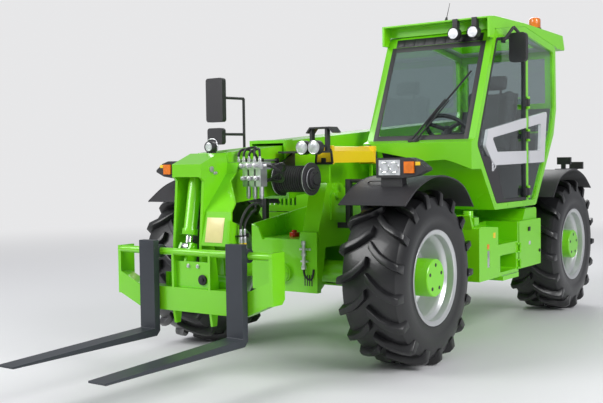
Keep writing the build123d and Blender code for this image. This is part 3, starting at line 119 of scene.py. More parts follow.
# %% World: an even fill for the object, a pale backdrop for the camera
world = bpy.data.worlds.new("studio")
world.use_nodes = True
bpy.context.scene.world = world
net = world.node_tree
fill = net.nodes["Background"]
fill.inputs["Color"].default_value = (0.93, 0.95, 1.0, 1)
fill.inputs["Strength"].default_value = 0.42
seen = net.nodes.new("ShaderNodeBackground")
seen.inputs["Color"].default_value = BACKDROP
rays = net.nodes.new("ShaderNodeLightPath")
choose = net.nodes.new("ShaderNodeMixShader")
net.links.new(rays.outputs["Is Camera Ray"], choose.inputs[0])
net.links.new(fill.outputs[0], choose.inputs[1])
net.links.new(seen.outputs[0], choose.inputs[2])
net.links.new(choose.outputs[0], net.nodes["World Output"].inputs["Surface"])
print("world fill", round(fill.inputs["Strength"].default_value, 2))

# %% Soft lamps
AIM = Vector((0, -0.5, 1.0))
LAMPS = (   # name, place, size in metres, power in watts
    ("key", (-5.0, -7.5, 6.5), 5.0, 620),
    ("side", (7.5, -2.0, 5.0), 4.0, 420),
    ("back", (-3.0, 8.0, 6.0), 5.0, 300),
)
for name, place, size, power in LAMPS:
    bpy.ops.object.light_add(type="AREA", location=place)
    lamp = bpy.context.object
    lamp.name = name
    lamp.data.size = size
    lamp.data.energy = power
    lamp.rotation_euler = (AIM - Vector(place)).to_track_quat("-Z", "Y").to_euler()
print(len(LAMPS), "lamps")

# %% [markdown]
# ## Finishes
# Each finish starts from one shader. What makes it real is small and uneven: the gloss varies where hands
# and dust have been, the surface has a faint orange-peel or grain, and the colour is never quite flat.
# One helper makes these three from noise, and each finish sets their size and strength.

# %% A finish with uneven gloss, grain and tone
def finish(name, colour, roughness, metal=0.0, coat=0.0, grain=(300.0, 0.05), tone=0.06, patches=1.4, gloss=0.10):
    """A painted, moulded or bare surface. grain is its scale and depth; tone and gloss how much they vary."""
    made = bpy.data.materials.new(name)
    made.use_nodes = True
    tree = made.node_tree
    shader = tree.nodes["Principled BSDF"]
    shader.inputs["Metallic"].default_value = metal
    shader.inputs["Coat Weight"].default_value = coat
    shader.inputs["Coat Roughness"].default_value = 0.06
    place = tree.nodes.new("ShaderNodeTexCoord")
    broad = tree.nodes.new("ShaderNodeTexNoise")
    broad.inputs["Scale"].default_value = patches
    broad.inputs["Detail"].default_value = 5
    tree.links.new(place.outputs["Object"], broad.inputs["Vector"])
    ramp = tree.nodes.new("ShaderNodeValToRGB")
    ramp.color_ramp.elements[0].position = 0.3
    ramp.color_ramp.elements[1].position = 0.7
    ramp.color_ramp.elements[0].color = tuple(c * (1 - tone) for c in colour) + (1,)
    ramp.color_ramp.elements[1].color = tuple(min(1, c * (1 + tone)) for c in colour) + (1,)
    tree.links.new(broad.outputs["Fac"], ramp.inputs["Fac"])
    tree.links.new(ramp.outputs["Color"], shader.inputs["Base Color"])
    shine = tree.nodes.new("ShaderNodeMapRange")
    shine.inputs["To Min"].default_value = max(0.02, roughness - gloss)
    shine.inputs["To Max"].default_value = min(1.0, roughness + gloss)
    tree.links.new(broad.outputs["Fac"], shine.inputs["Value"])
    tree.links.new(shine.outputs["Result"], shader.inputs["Roughness"])
    fine = tree.nodes.new("ShaderNodeTexNoise")
    fine.inputs["Scale"].default_value = grain[0]
    fine.inputs["Detail"].default_value = 2
    tree.links.new(place.outputs["Object"], fine.inputs["Vector"])
    bump = tree.nodes.new("ShaderNodeBump")
    bump.inputs["Strength"].default_value = grain[1]
    bump.inputs["Distance"].default_value = 0.001
    tree.links.new(fine.outputs["Fac"], bump.inputs["Height"])
    tree.links.new(bump.outputs["Normal"], shader.inputs["Normal"])
    return made


# %% Paint, plastic, rubber and metal
PAINT = {
    "green_paint": finish("green_paint", (0.19, 0.66, 0.004), 0.30, coat=0.55, grain=(90, 0.10), tone=0.05),
    "hood_plastic": finish("hood_plastic", (0.20, 0.68, 0.004), 0.34, coat=0.35, grain=(400, 0.06), tone=0.04),
    "body_block": finish("body_block", (0.20, 0.68, 0.004), 0.34, coat=0.35, grain=(400, 0.06), tone=0.04),
    "rim_silver": finish("rim_silver", (0.62, 0.63, 0.64), 0.32, metal=0.7, grain=(260, 0.08), tone=0.04),
    "tyre_rubber": finish("tyre_rubber", (0.009, 0.009, 0.010), 0.36, coat=0.15, grain=(420, 0.30), tone=0.25,
                          patches=5),
    "fork_steel": finish("fork_steel", (0.040, 0.046, 0.055), 0.36, metal=0.25, grain=(140, 0.15), tone=0.2),
    "dark_plastic": finish("dark_plastic", (0.028, 0.027, 0.030), 0.50, grain=(900, 0.5), tone=0.12),
    "black_steel": finish("black_steel", (0.018, 0.018, 0.020), 0.40, metal=0.2, grain=(200, 0.1), tone=0.15),
    "engine_iron": finish("engine_iron", (0.06, 0.06, 0.065), 0.6, metal=0.5, grain=(120, 0.5), tone=0.25),
    "yellow_paint": finish("yellow_paint", (0.90, 0.62, 0.012), 0.34, coat=0.3, grain=(90, 0.1)),
    "trim_white": finish("trim_white", (0.62, 0.62, 0.65), 0.26, coat=0.4, grain=(500, 0.03), tone=0.04),
    "rod_chrome": finish("rod_chrome", (0.80, 0.80, 0.81), 0.10, metal=1.0, grain=(600, 0.03), tone=0.02, gloss=0.03),
    "steel": finish("steel", (0.66, 0.66, 0.68), 0.30, metal=0.9, grain=(300, 0.15), tone=0.08),
    "seat_fabric": finish("seat_fabric", (0.045, 0.045, 0.050), 0.85, grain=(1500, 0.8), tone=0.2),
    "hose_rubber": finish("hose_rubber", (0.014, 0.014, 0.015), 0.45, grain=(700, 0.3), tone=0.2),
}
print(len(PAINT), "opaque finishes")

# %% [markdown]
# ## Glass and lenses
# Window glass is tinted and mirror-smooth, and light has to reach the seat behind it. A real pane hardly
# darkens a room, yet a traced pane throws a full shadow, so rays that only carry shadow go straight through.
# A lens lies close over its reflector, so the two read as one bright, coated, slightly uneven surface.

# %% Glass
def glass(name, colour):
    """Smooth tinted glass that lets shadow rays pass."""
    made = bpy.data.materials.new(name)
    made.use_nodes = True
    tree = made.node_tree
    shader = tree.nodes["Principled BSDF"]
    shader.inputs["Base Color"].default_value = colour + (1,)
    shader.inputs["Roughness"].default_value = 0.0
    shader.inputs["Transmission Weight"].default_value = 1.0
    shader.inputs["IOR"].default_value = 1.45
    clear = tree.nodes.new("ShaderNodeBsdfTransparent")
    clear.inputs["Color"].default_value = tuple(0.5 + c / 2 for c in colour) + (1,)
    rays = tree.nodes.new("ShaderNodeLightPath")
    either = tree.nodes.new("ShaderNodeMixShader")
    tree.links.new(rays.outputs["Is Shadow Ray"], either.inputs[0])
    tree.links.new(shader.outputs[0], either.inputs[1])
    tree.links.new(clear.outputs[0], either.inputs[2])
    tree.links.new(either.outputs[0], tree.nodes["Material Output"].inputs["Surface"])
    return made


PAINT["glass"] = glass("glass", (0.60, 0.69, 0.68))
PAINT["lamp_lens"] = finish("lamp_lens", (0.74, 0.76, 0.78), 0.16, metal=0.35, coat=1.0, grain=(110, 0.9), tone=0.2,
                            patches=30)
PAINT["amber_lens"] = finish("amber_lens", (0.85, 0.20, 0.008), 0.16, coat=1.0, grain=(160, 0.4), tone=0.15, patches=20)
PAINT["red_lens"] = finish("red_lens", (0.55, 0.012, 0.008), 0.16, coat=1.0, grain=(160, 0.4), tone=0.15, patches=20)
print("glass and three lenses")

# %% [markdown]
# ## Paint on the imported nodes
# The record says which finish each node takes. Only the node's material slots change, never its mesh.
# Folded and welded steel has soft edges that catch the light, so a narrow bevel, left as a modifier,
# rounds each sharp edge of the shown node. The triangles are welded first, since they arrive loose.

# %% Dress the nodes
slot_of = {part["node"]: part["material_slot"] for part in frame["record"]["subparts"]}
slot_of["door_frame"] = "dark_plastic"      # the door's frame is a black moulding round its glass
for name, node in nodes.items():
    node.data.materials.clear()
    node.data.materials.append(PAINT[slot_of[name]])
print("dressed", len(slot_of), "nodes")

# %% Soften the edges
EDGE = {"tyre": 0, "rim": 0.0015, "hub": 0.002, "door_glass": 0, "windscreen": 0, "cab_glass": 0}
for name, node in nodes.items():
    width = next((w for kind, w in EDGE.items() if name.startswith(kind)), 0.003)
    if width:
        weld = node.modifiers.new("weld", "WELD")
        weld.merge_threshold = 0.00005
        soft = node.modifiers.new("soft_edges", "BEVEL")
        soft.width = width
        soft.segments = 2
        soft.limit_method = "ANGLE"
        soft.angle_limit = radians(40)
        soft.use_clamp_overlap = True
        soft.harden_normals = False
print("edges softened")

# %% [markdown]
# ## Tyres
# A tractor-pattern tyre has a smooth, bulging carcass and two rows of heavy bars that meet in a chevron.
# It could be one displaced ring, but a bar's steep sides would smear. So the carcass is a closed section
# spun round the axle, and one bar is extruded through a few sections, bevelled, and copied round each half.

# %% Helpers for edit mode
def clear_selection():
    if bpy.context.object and bpy.context.object.mode != "OBJECT":
        bpy.ops.object.mode_set(mode="OBJECT")
    bpy.ops.object.select_all(action="DESELECT")


def only(piece):
    """piece alone is selected and active."""
    clear_selection()
    piece.select_set(True)
    bpy.context.view_layer.objects.active = piece
    return piece


def outward(piece, flip=False):
    """Turns every normal outward, or flips them all after a mirrored copy."""
    only(piece)
    bpy.ops.object.mode_set(mode="EDIT")
    bpy.ops.mesh.select_all(action="SELECT")
    if flip:
        bpy.ops.mesh.flip_normals()
    else:
        bpy.ops.mesh.normals_make_consistent(inside=False)
    bpy.ops.object.mode_set(mode="OBJECT")


def settle(piece, name, body, finish_name, angle=35):
    """Places a finished piece's shape in its mesh, smooths it, paints it and hangs it on its body."""
    only(piece)
    piece.name = name
    bpy.ops.object.transform_apply(location=True, rotation=True, scale=True)
    bpy.ops.object.shade_smooth_by_angle(angle=radians(angle))
    piece.data.materials.clear()
    piece.data.materials.append(PAINT[finish_name])
    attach(piece, body)
    return piece


# %% One carcass: a section spun round the axle
TYRE_R, LUGS = 0.605, 17
SECTION = (     # across the tread, radius; from the inner bead round the outside to the other bead
    (-0.196, 0.306), (-0.206, 0.318), (-0.214, 0.336), (-0.211, 0.346), (-0.222, 0.392), (-0.227, 0.440),
    (-0.223, 0.486), (-0.212, 0.520), (-0.196, 0.546), (-0.150, 0.559), (-0.070, 0.563),
    (0.070, 0.563), (0.150, 0.559), (0.196, 0.546), (0.212, 0.520), (0.223, 0.486),
    (0.227, 0.440), (0.222, 0.392), (0.211, 0.346), (0.214, 0.336), (0.206, 0.318), (0.196, 0.306),
)
clear_selection()
bpy.ops.mesh.primitive_circle_add(vertices=len(SECTION), radius=0.1, location=(0, 0, 0))
carcass = bpy.context.object
for corner, (across, radius) in zip(carcass.data.vertices, SECTION):
    corner.co = (across, 0, -radius)
bpy.ops.object.mode_set(mode="EDIT")
bpy.ops.mesh.select_all(action="SELECT")
bpy.ops.mesh.spin(steps=68, angle=tau, center=(0, 0, 0), axis=(1, 0, 0))
bpy.ops.mesh.select_all(action="SELECT")
bpy.ops.mesh.remove_doubles(threshold=0.0002)
bpy.ops.mesh.normals_make_consistent(inside=False)
bpy.ops.object.mode_set(mode="OBJECT")
print("carcass", len(carcass.data.polygons), "faces")

# %% One bar, extruded through its sections
BAR = (     # across, first and last along the tread, how much the top is narrower, top and root radii
    (0.003, -0.152, -0.070, 0.012, 0.603, 0.545),
    (0.045, -0.108, -0.026, 0.013, 0.604, 0.545),
    (0.090, -0.066, 0.014, 0.014, 0.604, 0.545),
    (0.150, -0.030, 0.046, 0.014, 0.602, 0.540),
    (0.205, -0.006, 0.068, 0.013, 0.594, 0.520),
    (0.229, 0.004, 0.078, 0.016, 0.572, 0.490),
)


def ring_point(across, along, radius):
    """A point of the tread, along its own rolled-out length."""
    turn = along / TYRE_R
    return Vector((across, radius * sin(turn), -radius * cos(turn)))


def bar_ring(across, first, last, draft, top, root):
    """The four corners of the bar at one section."""
    return [ring_point(across, first, root), ring_point(across, last, root),
            ring_point(across, last - draft, top), ring_point(across, first + draft, top)]


clear_selection()
bpy.ops.mesh.primitive_plane_add(size=0.1)
bar = bpy.context.object
for corner, spot in zip([0, 1, 3, 2], bar_ring(*BAR[0])):
    bar.data.vertices[corner].co = spot
order = [0, 1, 3, 2]
for section in BAR[1:]:
    bpy.ops.object.mode_set(mode="EDIT")
    bpy.ops.mesh.select_mode(type="FACE")
    bpy.ops.mesh.select_all(action="DESELECT")
    bpy.ops.object.mode_set(mode="OBJECT")
    max(bar.data.polygons, key=lambda face: face.center.x).select = True
    before = [bar.data.vertices[i].co.copy() for i in order]
    bpy.ops.object.mode_set(mode="EDIT")
    bpy.ops.mesh.extrude_region_move(TRANSFORM_OT_translate={"value": (0.001, 0, 0)})
    bpy.ops.object.mode_set(mode="OBJECT")
    fresh = [v.index for v in bar.data.vertices if v.select]
    order = [min(fresh, key=lambda i: (bar.data.vertices[i].co - spot).length) for spot in before]
    for corner, spot in zip(order, bar_ring(*section)):
        bar.data.vertices[corner].co = spot
outward(bar)
bevel = bar.modifiers.new("worn", "BEVEL")
bevel.width, bevel.segments, bevel.limit_method, bevel.angle_limit = 0.005, 2, "ANGLE", radians(35)
bpy.ops.object.modifier_apply(modifier="worn")
print("bar", len(bar.data.polygons), "faces")


# %% Bars round both halves
def copy_of(piece):
    only(piece)
    bpy.ops.object.duplicate(linked=False)
    return bpy.context.object


bars = []
for half in (1, -1):
    for count in range(LUGS):
        each = copy_of(bar)
        turn = tau * (count + (0 if half > 0 else 0.5)) / LUGS
        move = Matrix.Rotation(-turn, 4, "X") @ Matrix.Scale(half, 4, (1, 0, 0))
        each.data.transform(move)
        if half < 0:
            outward(each, flip=True)
        bars.append(each)
bpy.data.objects.remove(bar)
clear_selection()
for each in bars + [carcass]:
    each.select_set(True)
bpy.context.view_layer.objects.active = carcass
bpy.ops.object.join()
print("one tyre", len(carcass.data.polygons), "faces")

# %% A tyre on each rim
for corner in ("front_left", "front_right", "rear_left", "rear_right"):
    low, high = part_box("rim_" + corner)
    hand = 1 if "left" in corner else -1
    tyre = copy_of(carcass)
    tyre.data.transform(Matrix.Translation((low + high) / 2) @ Matrix.Scale(hand, 4, (1, 0, 0)))
    if hand < 0:
        outward(tyre, flip=True)
    settle(tyre, "tread_" + corner, "wheel_" + corner, "tyre_rubber")
    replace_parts(tyre, "tyre_" + corner)
bpy.data.objects.remove(carcass)
print("four tyres")

# %% [markdown]
# ## Small hand tools
# Most of what is left is made from three things: a turned bar, a plate with broken edges and a bent hose.
# Each starts as a primitive or a path at its own place, gets its edges bevelled, and is joined with its
# neighbours of the same finish, so a cluster of fittings is one piece. Places are in millimetres, with
# stations along the machine counted from the middle of the wheelbase.

# %% Places in millimetres
STATION_ZERO = 0.828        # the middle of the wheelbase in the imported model's frame


def at(x, y, z):
    return Vector((x / 1000, y / 1000 + STATION_ZERO, z / 1000))


# %% Bars, plates and hoses
def broken(piece, width):
    """Bevels the sharp edges for good."""
    only(piece)
    bpy.ops.object.transform_apply(location=True, rotation=True, scale=True)
    soft = piece.modifiers.new("edge", "BEVEL")
    soft.width, soft.segments, soft.limit_method, soft.angle_limit = width / 1000, 2, "ANGLE", radians(35)
    bpy.ops.object.modifier_apply(modifier="edge")
    return piece


def turned(start, end, radius, sides=24, edge=1.5, tip=None):
    """A round bar between two points; tip is its radius at the end, if it tapers."""
    first, last = at(*start), at(*end)
    clear_selection()
    bpy.ops.mesh.primitive_cone_add(vertices=sides, radius1=radius / 1000, radius2=(tip or radius) / 1000,
                                    depth=(last - first).length, location=(first + last) / 2,
                                    rotation=(last - first).to_track_quat("Z", "Y").to_euler())
    return broken(bpy.context.object, min(edge, (tip or radius) * 0.4))


def plate(x, y, z, edge=2):
    """A plate or block between pairs of faces."""
    low, high = at(x[0], y[0], z[0]), at(x[1], y[1], z[1])
    clear_selection()
    bpy.ops.mesh.primitive_cube_add(size=1, location=(low + high) / 2, scale=high - low)
    return broken(bpy.context.object, min(edge, min(high - low) * 400))


def smooth_line(points, steps):
    """A smooth path near its points, in steps between each two."""
    clear_selection()
    bpy.ops.curve.primitive_nurbs_path_add()
    path = bpy.context.object
    spline = path.data.splines[0]
    spline.points.add(max(0, len(points) - len(spline.points)))
    spots = [at(*p) for p in points]
    spots += [spots[-1]] * (len(spline.points) - len(spots))
    for point, spot in zip(spline.points, spots):
        point.co = (*spot, 1)
    spline.order_u = 3
    spline.use_endpoint_u = True
    path.data.resolution_u = steps
    return path


def hose(points, radius, around=10):
    """A bent hose or pipe."""
    path = smooth_line(points, 8)
    path.data.bevel_depth = radius / 1000
    path.data.bevel_resolution = max(1, around // 4)
    path.data.use_fill_caps = True
    bpy.ops.object.convert(target="MESH")
    return bpy.context.object


def cluster(pieces, name, body, finish_name, angle=35):
    """Joins pieces of one finish and hangs them on their body."""
    clear_selection()
    for piece in pieces:
        piece.select_set(True)
    bpy.context.view_layer.objects.active = pieces[0]
    if len(pieces) > 1:
        bpy.ops.object.join()
    return settle(bpy.context.object, name, body, finish_name, angle)


# %% A hexagon nut with its stud, copied wherever one is needed
def nuts(places, way, size=9):
    """Nuts at points (x, y, z), their axis along way. size is the radius over the corners, in mm."""
    turn = Vector(way).to_track_quat("Z", "Y").to_matrix().to_4x4()
    clear_selection()
    bpy.ops.mesh.primitive_cylinder_add(vertices=6, radius=size / 1000, depth=size * 1.1 / 1000)
    head = broken(bpy.context.object, size * 0.12)
    bpy.ops.mesh.primitive_cylinder_add(vertices=12, radius=size * 0.5 / 1000, depth=size * 1.9 / 1000)
    stud = broken(bpy.context.object, size * 0.08)
    clear_selection()
    head.select_set(True)
    stud.select_set(True)
    bpy.context.view_layer.objects.active = head
    bpy.ops.object.join()
    made = []
    for place in places:
        each = copy_of(head)
        each.data.transform(Matrix.Translation(at(*place)) @ turn)
        made.append(each)
    bpy.data.objects.remove(head)
    return made


print("hand tools ready")

# %% [markdown]
# ## Wheels
# Each rim is bolted to its hub flange through the disc, and the green hub carries the axle's planet
# gears behind a bolted cover. The nuts sit on the disc in a ring; the cover's screws ring the hub's face.

# %% Nuts on the four wheels
AXLE, AXLE_Z = 1425, 605        # half the wheelbase, height of the wheels' middle
DISC_X, HUB_FACE = 886, 1098    # the disc's outer face, the hub cover's face


def around_axle(station, radius, count, first=0.0):
    """Places (y, z) evenly round a wheel's middle."""
    turns = [tau * k / count + first for k in range(count)]
    return [(station + radius * cos(turn), AXLE_Z + radius * sin(turn)) for turn in turns]


for corner in ("front_left", "front_right", "rear_left", "rear_right"):
    hand, station = 1 if "left" in corner else -1, AXLE if "rear" in corner else -AXLE
    circle = [(hand * DISC_X, y, z) for y, z in around_axle(station, 160, 10)]
    cluster(nuts(circle, (hand, 0, 0), 14), "wheel_nuts_" + corner, "wheel_" + corner, "steel")
    plugs = [turned((hand * HUB_FACE, y, z), (hand * (HUB_FACE + 5.5), y, z), 13, 20, 1)
             for y, z in around_axle(station, 88, 5, pi / 5 - pi / 2)]
    cluster(plugs, "hub_plugs_" + corner, "wheel_" + corner, "black_steel")
    valve = turned((hand * 910, station + 215, 640), (hand * 950, station + 225, 650), 6)
    cluster([valve], "valve_stem_" + corner, "wheel_" + corner, "black_steel")
print("nuts and valve stems on four wheels")

# %% [markdown]
# ## Wiper and antenna
# The wiper's two arms rise from a motor under the windscreen and hold the blade flat through its whole
# sweep. Bars, a blade and a rubber lip, all just in front of the glass plane, which leans back.

# %% Wiper
def screen_line(z):
    """The station of the windscreen's plane at a height."""
    return -696 + (z - 1504) * 0.4429


def before_screen(x, z, gap):
    """A point in front of the windscreen's plane."""
    return (x, screen_line(z) - gap, z)


arms = [turned(before_screen(540, 1560, 34), before_screen(765, 1875, 30), 8, 12, tip=5),
        turned(before_screen(585, 1560, 34), before_screen(800, 1862, 30), 8, 12, tip=5),
        turned(before_screen(540, 1545, 24), before_screen(540, 1560, 50), 20),
        turned(before_screen(585, 1545, 24), before_screen(585, 1560, 50), 16),
        plate((520, 605), (-722, -690), (1525, 1565), 6)]
blade = [hose([before_screen(650, 1700, 20), before_screen(790, 1885, 24), before_screen(935, 2085, 18)], 7),
         hose([before_screen(650, 1700, 11), before_screen(790, 1885, 11), before_screen(935, 2085, 11)], 4)]
cluster(arms + blade, "wiper", "chassis", "black_steel")

# %% Antenna on the roof's edge
mast = [turned((651, -300, 2512), (655, -300, 2540), 13, tip=8),
        turned((655, -300, 2535), (684, -300, 2650), 3.2, 10, 1, tip=2)]
cluster(mast, "antenna", "chassis", "black_steel")
print("wiper and antenna")

# %% [markdown]
# ## Windscreen border
# The glass is bonded to the frame under a black band that hides the glue from the sun. Four flat strips
# lie on the glass plane; each starts upright and its points are moved back by the plane's lean.

# %% Black band round the windscreen
def leaning(piece, line):
    """Moves each point of an upright piece along Y by line(z), z in millimetres."""
    for corner in piece.data.vertices:
        corner.co.y += line(corner.co.z * 1000) / 1000
    return piece


band = [plate(x, (-2, 3), z, 0.8) for x, z in (((184, 224), (1555, 2325)), ((965, 1005), (1555, 2325)),
                                               ((222, 967), (1555, 1597)), ((222, 967), (2286, 2325)))]
cluster([leaning(strip, screen_line) for strip in band], "screen_border", "chassis", "dark_plastic")
print("windscreen border")

# %% [markdown]
# ## Lamps
# A headlamp is a bright reflector behind ribbed plastic. The lens block has that finish already, and
# rings of chrome mark the reflectors' edges. The round work lamps get a bezel and a lens disc.

# %% Reflector rings and lenses
def ring(place, radius, thick, way, around=32):
    """A torus at a point, its axis along way."""
    clear_selection()
    bpy.ops.mesh.primitive_torus_add(major_radius=radius / 1000, minor_radius=thick / 1000, major_segments=around,
                                     minor_segments=8, location=at(*place),
                                     rotation=Vector(way).to_track_quat("Z", "Y").to_euler())
    bpy.ops.object.transform_apply(location=True, rotation=True, scale=True)
    return bpy.context.object


bezels = [ring((hand * x, -1721, 1360), 33, 3, (0, -1, 0)) for hand in (-1, 1) for x in (876, 950)]
bezels += [plate(sorted((hand * 1110, hand * 1144)), (-1724, -1719), (1372, 1396), 1) for hand in (-1, 1)]
cluster(bezels[:4], "headlamp_rings", "chassis", "rod_chrome")
cluster(bezels[4:], "side_markers", "chassis", "yellow_paint")
cluster([ring((x, -452, 2385), 44, 3, (0, -1, 0)) for x in (780, 942)], "work_lamp_bezels", "chassis", "black_steel")
discs = [turned((x, -1715, 1505), (x, -1719, 1505), 42, 32) for x in (212, 314)]
cluster(discs, "boom_lamp_lenses", "boom", "lamp_lens")
cluster([ring((x, -1719, 1505), 45, 4, (0, -1, 0)) for x in (212, 314)], "boom_lamp_bezels", "boom", "steel")
cluster([turned((-151, -2295, 1515), (-151, -2299, 1515), 29, 32)], "head_lamp_lens", "boom_tip", "lamp_lens")
HOOP = ((-198, 1484), (-200, 1560), (-151, 1572), (-102, 1560), (-104, 1484))
cluster([hose([(x, -2262, z) for x, z in HOOP], 3)], "head_lamp_guard", "boom_tip", "steel")
print("lamps dressed")

# %% [markdown]
# ## Valves and hoses on the boom's head
# The oil for the carriage and its tools passes a valve block beside the boom's head. Steel fittings screw
# into it, pipes run back along the boom in clamps, and hoses loop to the quick couplers on the leg.

# %% Fittings, pipes and clamps
PORTS = (0, 45, 90, 135, 180)       # the block's upper ports
VALVES = (81, 136, 191)             # the middles of the three valve bodies
fittings = [turned((x, -2165, 1410), (x, -2165, 1432), 12) for x in PORTS]
fittings += [turned((x, -2165, 1432), (x, -2165, 1446), 8) for x in PORTS]
fittings += nuts([(x, -2243, 1385) for x in VALVES], (0, -1, 0), 15)
fittings += [turned((x, -2200, 1300), (x, -2236, 1300), 15) for x in VALVES]
fittings += nuts([(x, -2240, 1300) for x in VALVES], (0, -1, 0), 9)
fittings += nuts([(x, -2165, 1176) for x in VALVES], (0, 0, -1), 16)
fittings += [turned((235, y, 1385), (262, y, 1385), 12) for y in (-2190, -2150)]
fittings += [hose([(-31, -2110, z), (-31, -1900, z), (-31, -1660, z)], 8) for z in (1395, 1420)]
fittings += [turned((-40, y, z), (-8, y, z), 13) for y, z in ((-1950, 1330), (-1900, 1290), (-1960, 1240))]
fittings += [turned((215, y, 888), (215, y, 930), 15) for y in (-2428, -2388)]
fittings += [turned((215, y, 930), (215, y, 978), 11) for y in (-2428, -2388)]
cluster(fittings, "valve_fittings", "boom_tip", "steel")
clamps = [plate((-40, -18), (y, y + 24), (1380, 1435), 2) for y in (-2060, -1880, -1700)]
clamps += [plate((187, 232), (-2450, -2366), (930, 938), 1.5), plate((187, 232), (-2366, -2360), (920, 950), 1.5)]
cluster(clamps, "pipe_clamps", "boom_tip", "black_steel")

# %% Hoses held on the head
HOSES = (   # radius, then points from end to end
    (9, (0, -2165, 1446), (0, -2165, 1490), (20, -2060, 1500), (10, -1960, 1440), (0, -1950, 1330), (-12, -1950, 1330)),
    (10, (262, -2190, 1385), (300, -2190, 1380), (320, -2100, 1330), (230, -1960, 1270), (80, -1900, 1280),
     (-10, -1900, 1290)),
    (10, (262, -2150, 1385), (290, -2150, 1385), (300, -2060, 1400), (220, -1930, 1350), (100, -1930, 1290),
     (-10, -1960, 1240)),
    (8, (45, -2165, 1446), (45, -2165, 1500), (110, -2100, 1510), (135, -2165, 1500), (135, -2165, 1446)),
    (8, (90, -2165, 1446), (90, -2165, 1480), (150, -2130, 1500), (180, -2165, 1480), (180, -2165, 1446)),
    (9, (215, -2428, 978), (215, -2428, 1030), (225, -2350, 1130), (215, -2220, 1140), (191, -2165, 1100),
     (191, -2165, 1160)),
    (9, (215, -2388, 978), (215, -2388, 1010), (205, -2300, 1080), (165, -2200, 1090), (136, -2165, 1100),
     (136, -2165, 1160)),
    (9, (215, -2388, 888), (217, -2388, 820), (236, -2400, 700), (236, -2430, 652), (236, -2470, 700),
     (225, -2478, 800), (196, -2478, 830)),
)
lines = [hose(points, radius, 12) for radius, *points in HOSES]
cluster(lines, "head_hoses", "boom_tip", "hose_rubber")
cluster([turned((187, -2478, 830), (200, -2478, 830), 14), turned((215, -2428, 870), (215, -2428, 888), 13),
         turned((215, -2388, 872), (215, -2388, 888), 13)], "coupler_caps", "boom_tip", "yellow_paint")
print(len(HOSES), "hoses")

# %% [markdown]
# ## Hose reel
# The reel pays out the oil line as the boom extends. The hose lies in close turns between the flanges,
# so each turn is one ring; the flanges have a rolled rim that catches the light.

# %% Wound hose, rims and hub cap
turns = [ring((54 + 19.5 * k, -1730, 1285), 85, 9.6, (1, 0, 0), 40) for k in range(12)]
cluster(turns, "reel_hose", "boom", "hose_rubber")
rims = [ring((x, -1730, 1285), 113, 3.5, (1, 0, 0), 48) for x in (37, 297)]
rims += [ring((312, -1730, 1285), 76, 3, (1, 0, 0), 40)]
cluster(rims, "reel_rims", "boom", "steel")
cap = [turned((320, -1730, 1285), (334, -1730, 1285), 66, 40, 3)]
cap += nuts([(336, -1730 + 52 * cos(tau * k / 6), 1285 + 52 * sin(tau * k / 6)) for k in range(6)], (1, 0, 0), 6)
cluster(cap, "reel_cap", "boom", "dark_plastic")
print("hose reel")

# %% [markdown]
# ## Safety strut, nose and plates
# The yellow strut is clipped over the lift cylinder's rod before work under a raised boom. Black end
# frames hold it. On the nose there are an oil coupling, a bolted cover over the axle's pivot, vents and a
# red filler cap. Instruction plates are left blank.

# %% Strut's end frames
OUTLINE = ((178, 1392), (188, 1483), (229, 1518), (271, 1518), (312, 1483), (322, 1392))
ends = []
for y in (-1491, -862):
    for (x0, z0), (x1, z1) in zip(OUTLINE, OUTLINE[1:] + OUTLINE[:1]):
        ends.append(turned((x0, y, z0), (x1, y, z1), 9, 10))
ends.append(plate((232, 268), (-1504, -1490), (1392, 1432), 3))
cluster(ends, "strut_ends", "chassis", "black_steel")

# %% Nose fittings
PAINT["red_plastic"] = finish("red_plastic", (0.62, 0.010, 0.008), 0.3, coat=0.5, grain=(200, 0.15), tone=0.1)
for name, colour in (("cream_plate", (0.86, 0.76, 0.34)), ("orange_plate", (0.80, 0.24, 0.01))):
    PAINT[name] = finish(name, colour, 0.35, coat=0.2, grain=(60, 0.05), tone=0.04, patches=14)
cap = [turned((-50, -1450, 850), (-50, -1450, 882), 38, 12, 3), turned((-50, -1450, 882), (-50, -1450, 898), 20, 8, 3)]
cluster(cap, "filler_cap", "chassis", "red_plastic")
coupling = [turned((190, -1680, 645), (190, -1680, 838), 13), turned((190, -1680, 640), (190, -1680, 668), 19),
            turned((190, -1680, 735), (190, -1680, 760), 20, 6), turned((190, -1680, 815), (190, -1680, 842), 18, 6),
            plate((160, 220), (-1680, -1660), (776, 788), 1.5), plate((160, 220), (-1680, -1660), (690, 702), 1.5)]
coupling += nuts([(150, -1662, 782), (232, -1662, 782)], (0, -1, 0), 9)
cluster(coupling, "nose_coupling", "chassis", "steel")
cover = [turned((0, -1685, 605), (0, -1692, 605), 60, 40, 2)]
cover += nuts([(48 * cos(tau * k / 6), -1694, 605 + 48 * sin(tau * k / 6)) for k in range(6)], (0, -1, 0), 7)
cluster(cover, "pivot_cover", "chassis", "green_paint")
vents = [plate((x, x + 9), (-1662, -1659.5), (520, 600), 0.8) for x in (180, 200, 220, 240)]
cluster(vents, "nose_vents", "chassis", "black_steel")
line = [hose([(190, -1680, 645), (190, -1685, 600), (235, -1680, 560), (262, -1672, 580), (262, -1662, 640)], 8)]
cluster(line, "nose_hose", "chassis", "hose_rubber")

# %% Blank plates
def leg_line(z):
    """The station of the leg's front face at a height."""
    return -2470 - (1090 - z) * 42 / 220


